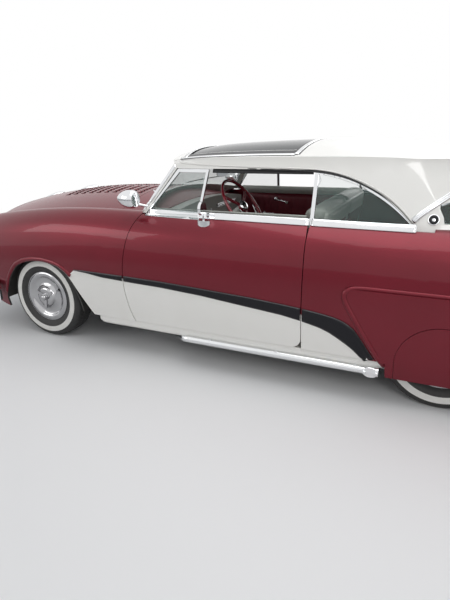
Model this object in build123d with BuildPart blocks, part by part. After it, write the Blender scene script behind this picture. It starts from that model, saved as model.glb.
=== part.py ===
from build123d import *
import math
import os

os.makedirs("parts", exist_ok=True)

# A two-door hardtop of the 1950s, customised: lowered, skirted, with side pipes.
# Millimetres. +Z is up, the nose points to -Y and the driver's side is +X.
# The origin lies on the ground, at the middle of the length and the width.

# Driving dimensions
LENGTH = 5136
WHEELBASE = 2997
FRONT_OVERHANG = 838
HALF_WIDTH = 930
BELT_HEIGHT = 1075
ROOF_HEIGHT = 1538
TYRE_RADIUS = 345
TYRE_WIDTH = 200
TRACK_FRONT = 1473
TRACK_REAR = 1422
GROUND_CLEARANCE = 215

# Clearances
SHUT_GAP = 5
SEAT_GAP = 0.3
GLASS_THICKNESS = 6
SHEET = 16

# Places that follow from the driving dimensions
NOSE_Y = -LENGTH / 2
TAIL_Y = LENGTH / 2
FRONT_AXLE_Y = NOSE_Y + FRONT_OVERHANG
REAR_AXLE_Y = FRONT_AXLE_Y + WHEELBASE
FRONT_WHEEL_X = TRACK_FRONT / 2
REAR_WHEEL_X = TRACK_REAR / 2
MID_Y = 300


def station(y):
    """Cross plane at y: sketch x is the car's X, sketch y is its Z."""
    return Plane.XZ.offset(-y)


def side_plane(x):
    """Lengthwise plane at x: sketch x is the car's Y, sketch y is its Z."""
    return Plane.YZ.offset(x)


def level(z):
    """Level plane at z: sketch x and y are the car's X and Y."""
    return Plane.XY.offset(z)


# Body side: one outer section for fenders, doors and quarters
WIDEST_Z = 600
LOW_TUCK = 45
SHOULDER_TUCK = 34
SHOULDER_DROP = 166
CROWN_TUCK = 143
CROWN_DROP = 16
VALLEY_DROP = 36
VALLEY_X = 658
NOSE_TAPER = 85
TAIL_TAPER = 75
WALL = 160
DOOR_BOTTOM = GROUND_CLEARANCE + 83
END_LIFT = 2


def half_width(y):
    """Half width of the body on its widest line."""
    if y < MID_Y:
        return HALF_WIDTH - NOSE_TAPER * ((MID_Y - y) / 2750) ** 4
    return HALF_WIDTH - TAIL_TAPER * ((y - MID_Y) / 2150) ** 4


def belt(y):
    """Height of the fender crown and belt line."""
    front_fall = 6.9e-5 * max(0, -1000 - y) ** 2
    rear_fall = 7.4e-5 * max(0, y - 1300) ** 2
    return BELT_HEIGHT - 0.008 * y - front_fall - rear_fall


def low_edge(y):
    """Height of the lower edge of fenders and quarters."""
    front_rise = 1.1e-3 * max(0, -2100 - y) ** 2
    rear_rise = 3.0e-4 * max(0, y - 1750) ** 2
    return GROUND_CLEARANCE - 10 + front_rise + rear_rise


def valley_x(y):
    """Where the fender crown meets the hood or the trunk lid."""
    return VALLEY_X - 2.3e-5 * max(0, abs(y - 200) - 900) ** 2


def valley_z(y):
    return belt(y) - VALLEY_DROP


def side_outline(y, out, bottom):
    """Side arc and shoulder arc of the section, from the bottom to the crown."""
    w = half_width(y) + out
    side = ThreePointArc(
        (w - LOW_TUCK, bottom),
        (w, WIDEST_Z),
        (w - SHOULDER_TUCK, belt(y) - SHOULDER_DROP),
    )
    shoulder = TangentArc(
        side @ 1, (w - CROWN_TUCK, belt(y) - CROWN_DROP), tangent=side % 1
    )
    return side, shoulder


def wall_section(y, out, bottom, thickness):
    """Closed section of a thick wall such as a door."""
    w = half_width(y) + out
    with BuildSketch(station(y)) as section:
        with BuildLine():
            side, shoulder = side_outline(y, out, bottom)
            Polyline(
                shoulder @ 1,
                (w - thickness, belt(y) - CROWN_DROP),
                (w - thickness, bottom),
                side @ 0,
            )
        make_face()
    return section.sketch


def shell_section(y, out, bottom, sheet):
    """Closed section of a crowned sheet such as a fender."""
    w = half_width(y) + out
    with BuildSketch(station(y)) as section:
        with BuildLine():
            side, shoulder = side_outline(y, out, bottom)
            crown = TangentArc(
                shoulder @ 1, (valley_x(y), valley_z(y)), tangent=shoulder % 1
            )
            drop = Line(crown @ 1, (valley_x(y), valley_z(y) - sheet))
            inner_side = ThreePointArc(
                (w - LOW_TUCK - sheet, bottom),
                (w - sheet, WIDEST_Z),
                (w - SHOULDER_TUCK - sheet, belt(y) - SHOULDER_DROP),
            )
            inner_shoulder = TangentArc(
                inner_side @ 1,
                (w - CROWN_TUCK - sheet / 3, belt(y) - CROWN_DROP - sheet),
                tangent=inner_side % 1,
            )
            TangentArc(inner_shoulder @ 1, drop @ 1, tangent=inner_shoulder % 1)
            Line(inner_side @ 0, side @ 0)
        make_face()
    return section.sketch


def cap_section(y, bottom, out=0):
    """Closed section that fills the end of a fender or quarter."""
    with BuildSketch(station(y)) as section:
        with BuildLine():
            side, shoulder = side_outline(y, out, bottom)
            crown = TangentArc(
                shoulder @ 1, (valley_x(y), valley_z(y)), tangent=shoulder % 1
            )
            Polyline(crown @ 1, (valley_x(y), bottom), side @ 0)
        make_face()
    return section.sketch


def end_section(y):
    """Section of the plate that closes an end, half a sheet under the skin."""
    half_sheet = SHEET / 2
    with BuildSketch(station(y)) as section:
        with BuildLine():
            side, shoulder = side_outline(y, -half_sheet, low_edge(y) + half_sheet)
            crown = TangentArc(
                shoulder @ 1, (valley_x(y) + SEAT_GAP, valley_z(y)), tangent=shoulder % 1
            )
            Polyline(crown @ 1, (valley_x(y) + SEAT_GAP, low_edge(y) + half_sheet), side @ 0)
        make_face()
    return section.sketch.moved(Location((0, 0, END_LIFT - half_sheet)))


def finish(part, name):
    """Label the piece and write it."""
    part.label = name
    export_step(part, "parts/" + name + ".step")


# Shut lines of the doors, as seen from the side
DOOR_FRONT_TOP_Y = -712
DOOR_FRONT_MID = (-854, 628)
DOOR_FRONT_LOW_Y = -789
DOOR_REAR_Y = 458
DOOR_CORNER_RADIUS = 65
DOOR_TOP_Z = BELT_HEIGHT + 40
JAMB_TAPER = 18


def door_outline(grow):
    """Outline of the door from the side, grown all round."""
    low_z = DOOR_BOTTOM - grow
    rear_y = DOOR_REAR_Y + grow
    corner = DOOR_CORNER_RADIUS + grow
    with BuildSketch(side_plane(0)) as outline:
        with BuildLine():
            front = ThreePointArc(
                (DOOR_FRONT_LOW_Y - grow, low_z),
                (DOOR_FRONT_MID[0] - grow, DOOR_FRONT_MID[1]),
                (DOOR_FRONT_TOP_Y - grow, DOOR_TOP_Z),
            )
            Polyline(front @ 1, (rear_y, DOOR_TOP_Z), (rear_y, low_z + corner))
            turn = RadiusArc((rear_y, low_z + corner), (rear_y - corner, low_z), corner)
            Line(turn @ 1, front @ 0)
        make_face()
    return outline.sketch


# Wheel openings
FRONT_ARCH_FRONT = ((-2153, 285), (-2058, 472), (-1940, 604))
FRONT_ARCH_TOP = ((-1940, 604), (-1745, 664), (-1534, 657))
FRONT_ARCH_CORNER = ((-1534, 657), (-1440, 626), (-1360, 558))
FRONT_ARCH_LOW_Y = -1110
REAR_ARCH_HALF = 250
REAR_ARCH_LOW_Z = 330
WHEEL_POCKET = 392
REAR_ARCH_TOP = 566
FENDER_CUT_Y = -1200
ROCKER_START_Y = -1125

# Front fender
FENDER_STATIONS = (NOSE_Y + 128, -2090, FRONT_AXLE_Y, -1390, -1045, -700)
FENDER_FRONT_Y = FENDER_STATIONS[0]
NOSE_CAP = 26
HEADLIGHT_X = 716
HEADLIGHT_Z = 815
HEADLIGHT_RADIUS = 106
OUTWARD = (1, 0, 0)
REACH = HALF_WIDTH + 50

def front_arch_outline():
    """Front wheel opening, with its slanted rear edge."""
    with BuildSketch(side_plane(0)) as outline:
        with BuildLine():
            for start, middle, end in (FRONT_ARCH_FRONT, FRONT_ARCH_TOP, FRONT_ARCH_CORNER):
                ThreePointArc(start, middle, end)
            Polyline(
                FRONT_ARCH_CORNER[2],
                (FRONT_ARCH_LOW_Y, 200),
                (FRONT_ARCH_LOW_Y, 100),
                (FRONT_ARCH_FRONT[0][0] - 12, 100),
                FRONT_ARCH_FRONT[0],
            )
        make_face()
    return outline.sketch


with BuildPart() as front_fender_left:
    for y in FENDER_STATIONS:
        add(shell_section(y, 0, low_edge(y), SHEET))
    loft()
    for y in (FENDER_FRONT_Y, FENDER_FRONT_Y + NOSE_CAP):
        add(end_section(y))
    loft()
    extrude(front_arch_outline(), amount=REACH, dir=OUTWARD, mode=Mode.SUBTRACT)
    with BuildSketch(side_plane(0)):
        with Locations((FENDER_CUT_Y, 0)):
            Rectangle(900, DOOR_BOTTOM - SHUT_GAP, align=(Align.MIN, Align.MIN))
    extrude(amount=REACH, mode=Mode.SUBTRACT)
    extrude(door_outline(SHUT_GAP), amount=REACH, dir=OUTWARD, mode=Mode.SUBTRACT)
    with BuildSketch(station(FENDER_FRONT_Y - 40)):
        with Locations((HEADLIGHT_X, HEADLIGHT_Z)):
            Circle(HEADLIGHT_RADIUS)
    extrude(amount=-120, mode=Mode.SUBTRACT)

with BuildPart() as front_fender_right:
    mirror(front_fender_left.part, about=Plane.YZ)

finish(front_fender_left.part, "front_fender_left")
finish(front_fender_right.part, "front_fender_right")

# Door: a thick panel between its outer skin and its trim
with BuildPart() as door_left:
    for y in (-900, -200, 600):
        add(wall_section(y, 0, GROUND_CLEARANCE, WALL))
    loft()
    extrude(door_outline(0), amount=REACH, dir=OUTWARD, mode=Mode.INTERSECT)
    with BuildSketch(level(0)):
        with BuildLine():
            Polyline(
                (HALF_WIDTH - WALL - 20, DOOR_REAR_Y + 10),
                (HALF_WIDTH - WALL - 20, DOOR_REAR_Y - JAMB_TAPER),
                (HALF_WIDTH - 6, DOOR_REAR_Y + 10),
                close=True,
            )
        make_face()
    extrude(amount=BELT_HEIGHT + 100, mode=Mode.SUBTRACT)

with BuildPart() as door_right:
    mirror(door_left.part, about=Plane.YZ)

finish(door_left.part, "door_left")
finish(door_right.part, "door_right")

# Rear quarter: a thick wall beside the seat, a crowned sheet beside the trunk
QUARTER_WALL_END_Y = 1250
QUARTER_STATIONS = (1150, 1600, 2000, TAIL_Y - 128)
QUARTER_END_Y = QUARTER_STATIONS[-1]
SCOOP_RISE = 15
SCOOP_HEM = 6
SCOOP_TOP_Z = 728
SCOOP_NOSE_Y = 698
SCOOP_NOSE_Z = 690
SCOOP_LOW_Y = 975
SCOOP_STATIONS = (600, 1150, 1600, 2000, TAIL_Y - 128)
ROCKER_END_Y = SCOOP_LOW_Y - 5
SKIRT_GAP = 4
SKIRT_REBATE_RISE = SCOOP_RISE - 10


def scoop_outline():
    """Raised rear panel from the side, with its slanted nose."""
    with BuildSketch(side_plane(0)) as outline:
        with BuildLine():
            Polyline(
                (SCOOP_LOW_Y, 0),
                (SCOOP_LOW_Y, low_edge(SCOOP_LOW_Y) + 40),
                (SCOOP_NOSE_Y + 60, 560),
                (SCOOP_NOSE_Y, SCOOP_NOSE_Z),
                (SCOOP_NOSE_Y + 20, SCOOP_TOP_Z),
                (QUARTER_END_Y + 100, SCOOP_TOP_Z),
                (QUARTER_END_Y + 100, 0),
                close=True,
            )
        make_face()
    return outline.sketch


def rear_arch_outline(grow):
    """Rear wheel opening, closed by the skirt."""
    half = REAR_ARCH_HALF + grow
    with BuildSketch(side_plane(0)) as outline:
        with BuildLine():
            arch = ThreePointArc(
                (REAR_AXLE_Y - half, REAR_ARCH_LOW_Z),
                (REAR_AXLE_Y, REAR_ARCH_TOP + grow),
                (REAR_AXLE_Y + half, REAR_ARCH_LOW_Z),
            )
            Polyline(
                arch @ 1,
                (REAR_AXLE_Y + half, 100),
                (REAR_AXLE_Y - half, 100),
                arch @ 0,
            )
        make_face()
    return outline.sketch


def scoop_strip(y, rise, sheet):
    """Section of the raised rear panel, without shoulder."""
    w = half_width(y) + rise
    top = belt(y) - SHOULDER_DROP
    bottom = low_edge(y) - SCOOP_HEM
    with BuildSketch(station(y)) as section:
        with BuildLine():
            outer = ThreePointArc(
                (w - LOW_TUCK, bottom), (w, WIDEST_Z), (w - SHOULDER_TUCK, top)
            )
            Line(outer @ 1, (w - SHOULDER_TUCK - sheet, top))
            inner = ThreePointArc(
                (w - SHOULDER_TUCK - sheet, top),
                (w - sheet, WIDEST_Z),
                (w - LOW_TUCK - sheet, bottom),
            )
            Line(inner @ 1, outer @ 0)
        make_face()
    return section.sketch


with BuildPart() as raised_panel:
    for y in SCOOP_STATIONS:
        add(scoop_strip(y, SCOOP_RISE, SCOOP_RISE + SHEET / 2))
    loft()
    extrude(scoop_outline(), amount=REACH, dir=OUTWARD, mode=Mode.INTERSECT)

with BuildPart() as quarter_panel_left:
    for y in (400, 800, QUARTER_WALL_END_Y):
        add(wall_section(y, 0, low_edge(y), WALL))
    loft()
    with BuildSketch(station(REAR_AXLE_Y - WHEEL_POCKET)):
        Rectangle(HALF_WIDTH - 60, 745, align=(Align.MIN, Align.MIN))
    extrude(amount=-900, mode=Mode.SUBTRACT)
    for y in QUARTER_STATIONS:
        add(shell_section(y, 0, low_edge(y), SHEET))
    loft()
    for y in (QUARTER_END_Y - NOSE_CAP, QUARTER_END_Y):
        add(end_section(y))
    loft()
    add(raised_panel.part)
    extrude(rear_arch_outline(0), amount=REACH, dir=OUTWARD, mode=Mode.SUBTRACT)
    with BuildSketch(side_plane(0)):
        Rectangle(ROCKER_END_Y, DOOR_BOTTOM - SHUT_GAP, align=(Align.MIN, Align.MIN))
    extrude(amount=REACH, mode=Mode.SUBTRACT)
    with BuildSketch(side_plane(0)):
        with Locations((DOOR_REAR_Y + SHUT_GAP, 0)):
            Rectangle(400, 1300, align=(Align.MAX, Align.MIN))
    extrude(amount=REACH, mode=Mode.SUBTRACT)

with BuildPart() as quarter_panel_right:
    mirror(quarter_panel_left.part, about=Plane.YZ)

finish(quarter_panel_left.part, "quarter_panel_left")
finish(quarter_panel_right.part, "quarter_panel_right")

# Skirts that close the rear wheel openings
with BuildPart() as fender_skirts:
    for rise, sheet, gap in ((SCOOP_RISE, SHEET, SKIRT_GAP), (SKIRT_REBATE_RISE, 8, SEAT_GAP)):
        with BuildPart(mode=Mode.PRIVATE) as layer:
            for y in SCOOP_STATIONS:
                add(scoop_strip(y, rise, sheet))
            loft()
            extrude(
                rear_arch_outline(-gap), amount=REACH, dir=OUTWARD, mode=Mode.INTERSECT
            )
        add(layer.part)
    mirror(about=Plane.YZ)
finish(fender_skirts.part, "fender_skirts")

# Rocker panels under the doors
ROCKER_TOP_Z = DOOR_BOTTOM - SHUT_GAP - SEAT_GAP

with BuildPart() as rocker_left:
    with BuildSketch(station(ROCKER_START_Y)):
        with BuildLine():
            bulge = ThreePointArc(
                (HALF_WIDTH - 40, ROCKER_TOP_Z),
                (HALF_WIDTH - 40, ROCKER_TOP_Z - 32),
                (HALF_WIDTH - 64, ROCKER_TOP_Z - 54),
            )
            Polyline(
                bulge @ 1,
                (HALF_WIDTH - 150, GROUND_CLEARANCE + 10),
                (HALF_WIDTH - 150, ROCKER_TOP_Z),
                bulge @ 0,
            )
        make_face()
    extrude(amount=-(ROCKER_END_Y - ROCKER_START_Y - 2))
    with Locations((HALF_WIDTH - 98, REAR_AXLE_Y - WHEEL_POCKET, 0)):
        Box(200, 200, 600, align=(Align.MAX, Align.MIN, Align.CENTER), mode=Mode.SUBTRACT)

with BuildPart() as rocker_panels:
    add(rocker_left.part)
    mirror(rocker_left.part, about=Plane.YZ)
finish(rocker_panels.part, "rocker_panels")

# Hood: crowned sheet between the fenders, with a nose lip
HOOD_REAR_Y = -1035
HOOD_SHEET = 20
HOOD_CROWN = 1168
FIREWALL_Y = HOOD_REAR_Y + 22
HOOD_BRACKET_X = 470
HOOD_BRACKET_Z = 1000
HOOD_NOSE = (
    # y, half width, edge height, crown height
    (NOSE_Y + 38, 577, 850, 915),
    (NOSE_Y + 62, 579, 880, 968),
)


def hood_crown(y):
    """Height of the hood on the centre line."""
    return HOOD_CROWN - 1.05e-4 * max(0, -1250 - y) ** 2


def arched_strip(y, half, edge, crown, sheet):
    with BuildSketch(station(y)) as section:
        with BuildLine():
            top = ThreePointArc((-half, edge), (0, crown), (half, edge))
            low = ThreePointArc(
                (half, edge - sheet), (0, crown - sheet), (-half, edge - sheet)
            )
            Line(top @ 1, low @ 0)
            Line(low @ 1, top @ 0)
        make_face()
    return section.sketch


def hood_section(y):
    """Section of the hood between the two fenders."""
    return arched_strip(y, valley_x(y) - SHUT_GAP, valley_z(y), hood_crown(y), HOOD_SHEET)


with BuildPart() as hood:
    for y in (FENDER_FRONT_Y, -2090, FRONT_AXLE_Y, -1390, HOOD_REAR_Y):
        add(hood_section(y))
    loft()
    for y, half, edge, crown in HOOD_NOSE:
        add(arched_strip(y, half, edge, crown, HOOD_SHEET))
    add(hood_section(FENDER_FRONT_Y))
    loft(ruled=True)
    for side in (-1, 1):
        with Locations((side * HOOD_BRACKET_X, FIREWALL_Y - SEAT_GAP, HOOD_BRACKET_Z)):
            Box(40, 46, 34, align=(Align.CENTER, Align.MAX, Align.MIN))
        with Locations((side * HOOD_BRACKET_X, HOOD_REAR_Y - 4, HOOD_BRACKET_Z)):
            Box(40, 22, 98, align=(Align.CENTER, Align.MAX, Align.MIN))
finish(hood.part, "hood")

# Cowl: the panel below the windshield, with the firewall
COWL_SHEET = 20
COWL_REAR_Y = -705
FIREWALL_LOW_Z = 441
COWL_STATIONS = (
    # y, height on the centre line
    (HOOD_REAR_Y + SHUT_GAP, HOOD_CROWN),
    (-900, 1150),
    (COWL_REAR_Y, 1095),
)
FIREWALL_SHEET = 14
COWL_SIDE_Z = 1000
POST_INNER_X = HALF_WIDTH - WALL - 4 + SEAT_GAP
POST_SHEET = 12
POST_OUTER_X = POST_INNER_X + POST_SHEET
POST_REAR_Y = DOOR_FRONT_MID[0] - SEAT_GAP
POST_LOW_Z = ROCKER_TOP_Z + SEAT_GAP
POST_ALIGN = (Align.CENTER, Align.CENTER, Align.MIN)

# Inner fenders over the steered wheels, welded to the firewall
APRON_X = 444
APRON_SHEET = 10
APRON_RADIUS = 426
APRON_Z = 292
APRON_TOP_Z = 980

with BuildPart() as fender_inside:
    for y in FENDER_STATIONS:
        add(cap_section(y, GROUND_CLEARANCE - 10, -SHEET - 3))
    loft()
    with Locations((APRON_X, FENDER_FRONT_Y, 0)):
        Box(VALLEY_X - APRON_X - 10, 1800, 1100, align=(Align.MIN, Align.MIN, Align.MIN))

with BuildPart() as apron_left:
    with BuildSketch(side_plane(APRON_X)):
        with BuildLine():
            Polyline(
                (FIREWALL_Y + 2, 560),
                (FIREWALL_Y + 2, APRON_TOP_Z),
                (-1900, APRON_TOP_Z),
                (FENDER_FRONT_Y + 60, 860),
                (FENDER_FRONT_Y + 60, 560),
                close=True,
            )
        make_face()
    extrude(amount=APRON_SHEET)
    with BuildSketch(side_plane(APRON_X)):
        with Locations((FRONT_AXLE_Y, APRON_Z)):
            Circle(APRON_RADIUS + APRON_SHEET)
            Circle(APRON_RADIUS, mode=Mode.SUBTRACT)
            Rectangle(1200, 700, align=(Align.CENTER, Align.MAX), mode=Mode.SUBTRACT)
    extrude(amount=HALF_WIDTH - APRON_X)
    with BuildSketch(side_plane(0)):
        with Locations((FRONT_AXLE_Y, APRON_Z)):
            Circle(APRON_RADIUS)
    extrude(amount=1000, mode=Mode.SUBTRACT)
    add(fender_inside.part, mode=Mode.INTERSECT)

with BuildPart() as cowl:
    for y, crown in COWL_STATIONS:
        add(arched_strip(y, valley_x(y) - 0.5, valley_z(y), crown, COWL_SHEET))
    loft()
    with BuildSketch(station(FIREWALL_Y)):
        with BuildLine():
            half = valley_x(FIREWALL_Y) - 8
            edge = valley_z(FIREWALL_Y) - 5
            top = ThreePointArc((-half, edge), (0, HOOD_CROWN - 10), (half, edge))
            Polyline(
                top @ 1,
                (half, COWL_SIDE_Z),
                (POST_OUTER_X, COWL_SIDE_Z),
                (POST_OUTER_X, FIREWALL_LOW_Z),
                (-POST_OUTER_X, FIREWALL_LOW_Z),
                (-POST_OUTER_X, COWL_SIDE_Z),
                (-half, COWL_SIDE_Z),
                top @ 0,
            )
        make_face()
    extrude(amount=-FIREWALL_SHEET)
    for side in (-1, 1):
        for x, width, y, depth, top_z in (
            (POST_INNER_X, POST_SHEET, FIREWALL_Y, POST_REAR_Y - FIREWALL_Y, COWL_SIDE_Z),
            (POST_INNER_X, 114, POST_REAR_Y - 72, 72, 860),
            (POST_INNER_X, 40, POST_REAR_Y - 72, 72, COWL_SIDE_Z),
        ):
            with Locations((side * (x + width / 2), y + depth / 2, POST_LOW_Z)):
                Box(width, depth, top_z - POST_LOW_Z, align=POST_ALIGN)
    add(apron_left.part)
    mirror(apron_left.part, about=Plane.YZ)
finish(cowl.part, "cowl")

# Greenhouse: walls between the belt and the roof, then the crowned roof
HOUSE_BASE_Z = 1010
HOUSE_TOP_Z = 1400
HOUSE_WALL = 26
HOUSE_BASE = (
    # front corner, front middle, side middle, rear corner, rear middle
    ((820, -766), (0, -1060), (813, 250), (758, 1256), (0, 1820))
)
HOUSE_TOP = ((662, -535), (0, -655), (692, 250), (640, 1010), (0, 1425))


def house_outline(z, corners, inset):
    """Outline of the greenhouse at one level, moved in by the inset."""
    front, front_mid, side, rear, rear_mid = corners
    fx, fy = front[0] - inset, front[1] + inset
    rx, ry = rear[0] - inset, rear[1] - inset
    with BuildSketch(level(z)) as outline:
        with BuildLine():
            ThreePointArc((-fx, fy), (0, front_mid[1] + inset), (fx, fy))
            ThreePointArc((fx, fy), (side[0] - inset, side[1]), (rx, ry))
            ThreePointArc((rx, ry), (0, rear_mid[1] - inset), (-rx, ry))
            ThreePointArc((-rx, ry), (-side[0] + inset, side[1]), (-fx, fy))
        make_face()
    return outline.sketch


def house_walls(outer, inner):
    """Walls between two insets, from the belt to the roof."""
    with BuildPart() as walls:
        add(house_outline(HOUSE_BASE_Z, HOUSE_BASE, outer))
        add(house_outline(HOUSE_TOP_Z, HOUSE_TOP, outer))
        loft()
        with BuildPart(mode=Mode.SUBTRACT):
            add(house_outline(HOUSE_BASE_Z, HOUSE_BASE, inner))
            add(house_outline(HOUSE_TOP_Z, HOUSE_TOP, inner))
            loft()
    return walls.part


CROWN_STATIONS = (
    # y, height on the centre line, height at the reference half width
    (-760, 1432, 1368),
    (-640, 1470, 1396),
    (-250, 1519, 1432),
    (MID_Y, ROOF_HEIGHT, 1440),
    (870, 1516, 1424),
    (1160, 1472, 1396),
    (1480, 1388, 1330),
)
CROWN_REFERENCE_X = 700


def crown_solid(drop):
    """Everything under the roof crown, lowered by the drop."""
    with BuildPart() as crown:
        for y, middle, edge in CROWN_STATIONS:
            with BuildSketch(station(y)) as section:
                with BuildLine():
                    arc = ThreePointArc(
                        (-CROWN_REFERENCE_X, edge - drop),
                        (0, middle - drop),
                        (CROWN_REFERENCE_X, edge - drop),
                    )
                    Polyline(
                        arc @ 1,
                        (CROWN_REFERENCE_X, 1200),
                        (-CROWN_REFERENCE_X, 1200),
                        arc @ 0,
                    )
                make_face()
            add(section.sketch)
        loft()
    return crown.part


def roof_cap(inset, drop, base):
    """Roof panel solid: the top outline under the crown."""
    with BuildPart() as cap:
        add(crown_solid(drop))
        extrude(
            house_outline(base, HOUSE_TOP, inset),
            amount=400,
            dir=(0, 0, 1),
            mode=Mode.INTERSECT,
        )
    return cap.part


# Window openings from the side, and the roof panel from above
WINDOW_LOW_Z = BELT_HEIGHT - 20
WINDOW_TOP_Z = 1368
WINDOW_FRONT_LOW_Y = -716
WINDOW_FRONT_TOP_Y = -505
WINDOW_BEND_Y = 450
WINDOW_REAR_Y = 1045
ROOF_GLASS_HALF = 556
ROOF_GLASS_FRONT_Y = -478
ROOF_GLASS_BOW = 82
ROOF_GLASS_REAR_Y = 318


def side_window(inset, low_z=WINDOW_LOW_Z):
    """Whole side opening: vent window, door glass and quarter window."""
    with BuildSketch(side_plane(0)) as outline:
        with BuildLine():
            rear = ThreePointArc(
                (WINDOW_BEND_Y, WINDOW_TOP_Z - inset),
                (WINDOW_BEND_Y + 370, 1252 - inset),
                (WINDOW_REAR_Y - inset, WINDOW_LOW_Z + inset),
            )
            Polyline(
                rear @ 1,
                (WINDOW_REAR_Y - inset, low_z + inset - 1),
                (WINDOW_FRONT_LOW_Y + inset, low_z + inset - 1),
                (WINDOW_FRONT_LOW_Y + inset, WINDOW_LOW_Z + inset),
                (WINDOW_FRONT_TOP_Y + inset, WINDOW_TOP_Z - inset),
                rear @ 0,
            )
        make_face()
    return outline.sketch


def roof_opening(grow):
    half = ROOF_GLASS_HALF + grow
    with BuildSketch(level(1300)) as outline:
        with BuildLine():
            front = ThreePointArc(
                (-half, ROOF_GLASS_FRONT_Y - grow),
                (0, ROOF_GLASS_FRONT_Y - ROOF_GLASS_BOW - grow),
                (half, ROOF_GLASS_FRONT_Y - grow),
            )
            Polyline(
                front @ 1,
                (half, ROOF_GLASS_REAR_Y + grow),
                (-half, ROOF_GLASS_REAR_Y + grow),
                front @ 0,
            )
        make_face()
    return outline.sketch


# Front and rear glass regions, seen from the front and the rear
def screen_outline(y, low_half, low_z, low_mid_z, top_half, top_z, top_mid_z, inset):
    with BuildSketch(station(y)) as outline:
        with BuildLine():
            low = ThreePointArc(
                (-low_half + inset, low_z + inset),
                (0, low_mid_z + inset),
                (low_half - inset, low_z + inset),
            )
            top = ThreePointArc(
                (top_half - inset, top_z - inset),
                (0, top_mid_z - inset),
                (-top_half + inset, top_z - inset),
            )
            Line(low @ 1, top @ 0)
            Line(top @ 1, low @ 0)
        make_face()
    return outline.sketch


WINDSHIELD = (770, 1095, 1172, 640, 1378, 1428)
BACKLIGHT = (735, 1090, 1096, 703, 1185, 1400)
WINDSHIELD_END_Y = -550
BACKLIGHT_START_Y = 1160
LID_FRONT_Y = 1818
DECK_STATIONS = (
    # y, height on the centre line
    (1400, 1102),
    (1600, 1100),
    (LID_FRONT_Y - SHUT_GAP, 1087),
)
SOLID_DEPTH = 150
DOOR_SWEEP_GAP = 16

with BuildPart() as left_below:
    for stations in (FENDER_STATIONS, QUARTER_STATIONS):
        for y in stations:
            add(cap_section(y, GROUND_CLEARANCE))
        loft()
    for y in (400, 800, QUARTER_WALL_END_Y):
        add(wall_section(y, 0, GROUND_CLEARANCE, WALL))
    loft()

with BuildPart() as middle_below:
    for panel in (COWL_STATIONS, DECK_STATIONS):
        for y, crown in panel:
            add(arched_strip(y, valley_x(y) + 1, valley_z(y), crown, SOLID_DEPTH))
        loft()

with BuildPart() as door_below:
    for y in (-900, -200, 600):
        add(wall_section(y, 0, GROUND_CLEARANCE, WALL))
    loft()
    extrude(door_outline(SHUT_GAP), amount=REACH, dir=OUTWARD, mode=Mode.INTERSECT)

with BuildPart() as all_below:
    add(left_below.part.moved(Location((0, 0, SEAT_GAP))))
    add(door_below.part.moved(Location((0, 0, DOOR_SWEEP_GAP))))
    mirror(about=Plane.YZ)
    add(middle_below.part.moved(Location((0, 0, SEAT_GAP))))

with BuildPart() as roof:
    add(house_walls(0, HOUSE_WALL))
    add(roof_cap(0, 0, HOUSE_TOP_Z - 30))
    add(roof_cap(HOUSE_WALL, HOUSE_WALL, HOUSE_TOP_Z - 60), mode=Mode.SUBTRACT)
    for outward in (-1, 1):
        extrude(
            side_window(0, HOUSE_BASE_Z - 10),
            amount=900,
            dir=(outward, 0, 0),
            mode=Mode.SUBTRACT,
        )
    extrude(
        screen_outline(-1100, *WINDSHIELD, 0), amount=700, dir=(0, 1, 0), mode=Mode.SUBTRACT
    )
    extrude(
        screen_outline(1900, *BACKLIGHT, 0),
        amount=1900 - BACKLIGHT_START_Y,
        dir=(0, -1, 0),
        mode=Mode.SUBTRACT,
    )
    extrude(roof_opening(0), amount=400, dir=(0, 0, 1), mode=Mode.SUBTRACT)
    add(all_below.part, mode=Mode.SUBTRACT)
roof_solid = roof.part.solids().sort_by(SortBy.VOLUME)[-1]
finish(Part(roof_solid.wrapped), "roof")

# Fixed glass: each pane follows the greenhouse walls, just inside its opening
GLASS_INSET = 8

with BuildPart() as windshield:
    add(house_walls(GLASS_INSET, GLASS_INSET + GLASS_THICKNESS))
    extrude(
        screen_outline(-1100, *WINDSHIELD, SEAT_GAP),
        amount=-1100 - WINDSHIELD_END_Y,
        dir=(0, -1, 0),
        mode=Mode.INTERSECT,
    )
finish(windshield.part, "windshield")

with BuildPart() as rear_window:
    add(house_walls(GLASS_INSET, GLASS_INSET + GLASS_THICKNESS))
    extrude(
        screen_outline(1900, *BACKLIGHT, SEAT_GAP),
        amount=1900 - BACKLIGHT_START_Y - SEAT_GAP,
        dir=(0, -1, 0),
        mode=Mode.INTERSECT,
    )
finish(rear_window.part, "rear_window")

with BuildPart() as roof_glass:
    add(roof_cap(60, 4, HOUSE_TOP_Z - 60))
    add(roof_cap(50, 4 + GLASS_THICKNESS, HOUSE_TOP_Z - 80), mode=Mode.SUBTRACT)
    extrude(roof_opening(-SEAT_GAP), amount=400, dir=(0, 0, 1), mode=Mode.INTERSECT)
finish(roof_glass.part, "roof_glass")

# Quarter windows: a frame with its pane, behind the door


def upright_band(front_low, front_top, rear_low, rear_top, inset):
    """Stretch of the side opening between two upright edges."""
    with BuildSketch(side_plane(0)) as outline:
        with BuildLine():
            Polyline(
                (front_low + inset, WINDOW_LOW_Z - 50),
                (front_top + inset, WINDOW_TOP_Z + 50),
                (rear_top - inset, WINDOW_TOP_Z + 50),
                (rear_low - inset, WINDOW_LOW_Z - 50),
                close=True,
            )
        make_face()
    return outline.sketch


def pane_prism(edges, inset, low_z):
    """Solid that a pane or its frame fills, seen from the side."""
    with BuildPart() as prism:
        extrude(side_window(inset, low_z), amount=900, dir=OUTWARD)
        extrude(upright_band(*edges, inset), amount=900, dir=OUTWARD, mode=Mode.INTERSECT)
    return prism.part


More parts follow.
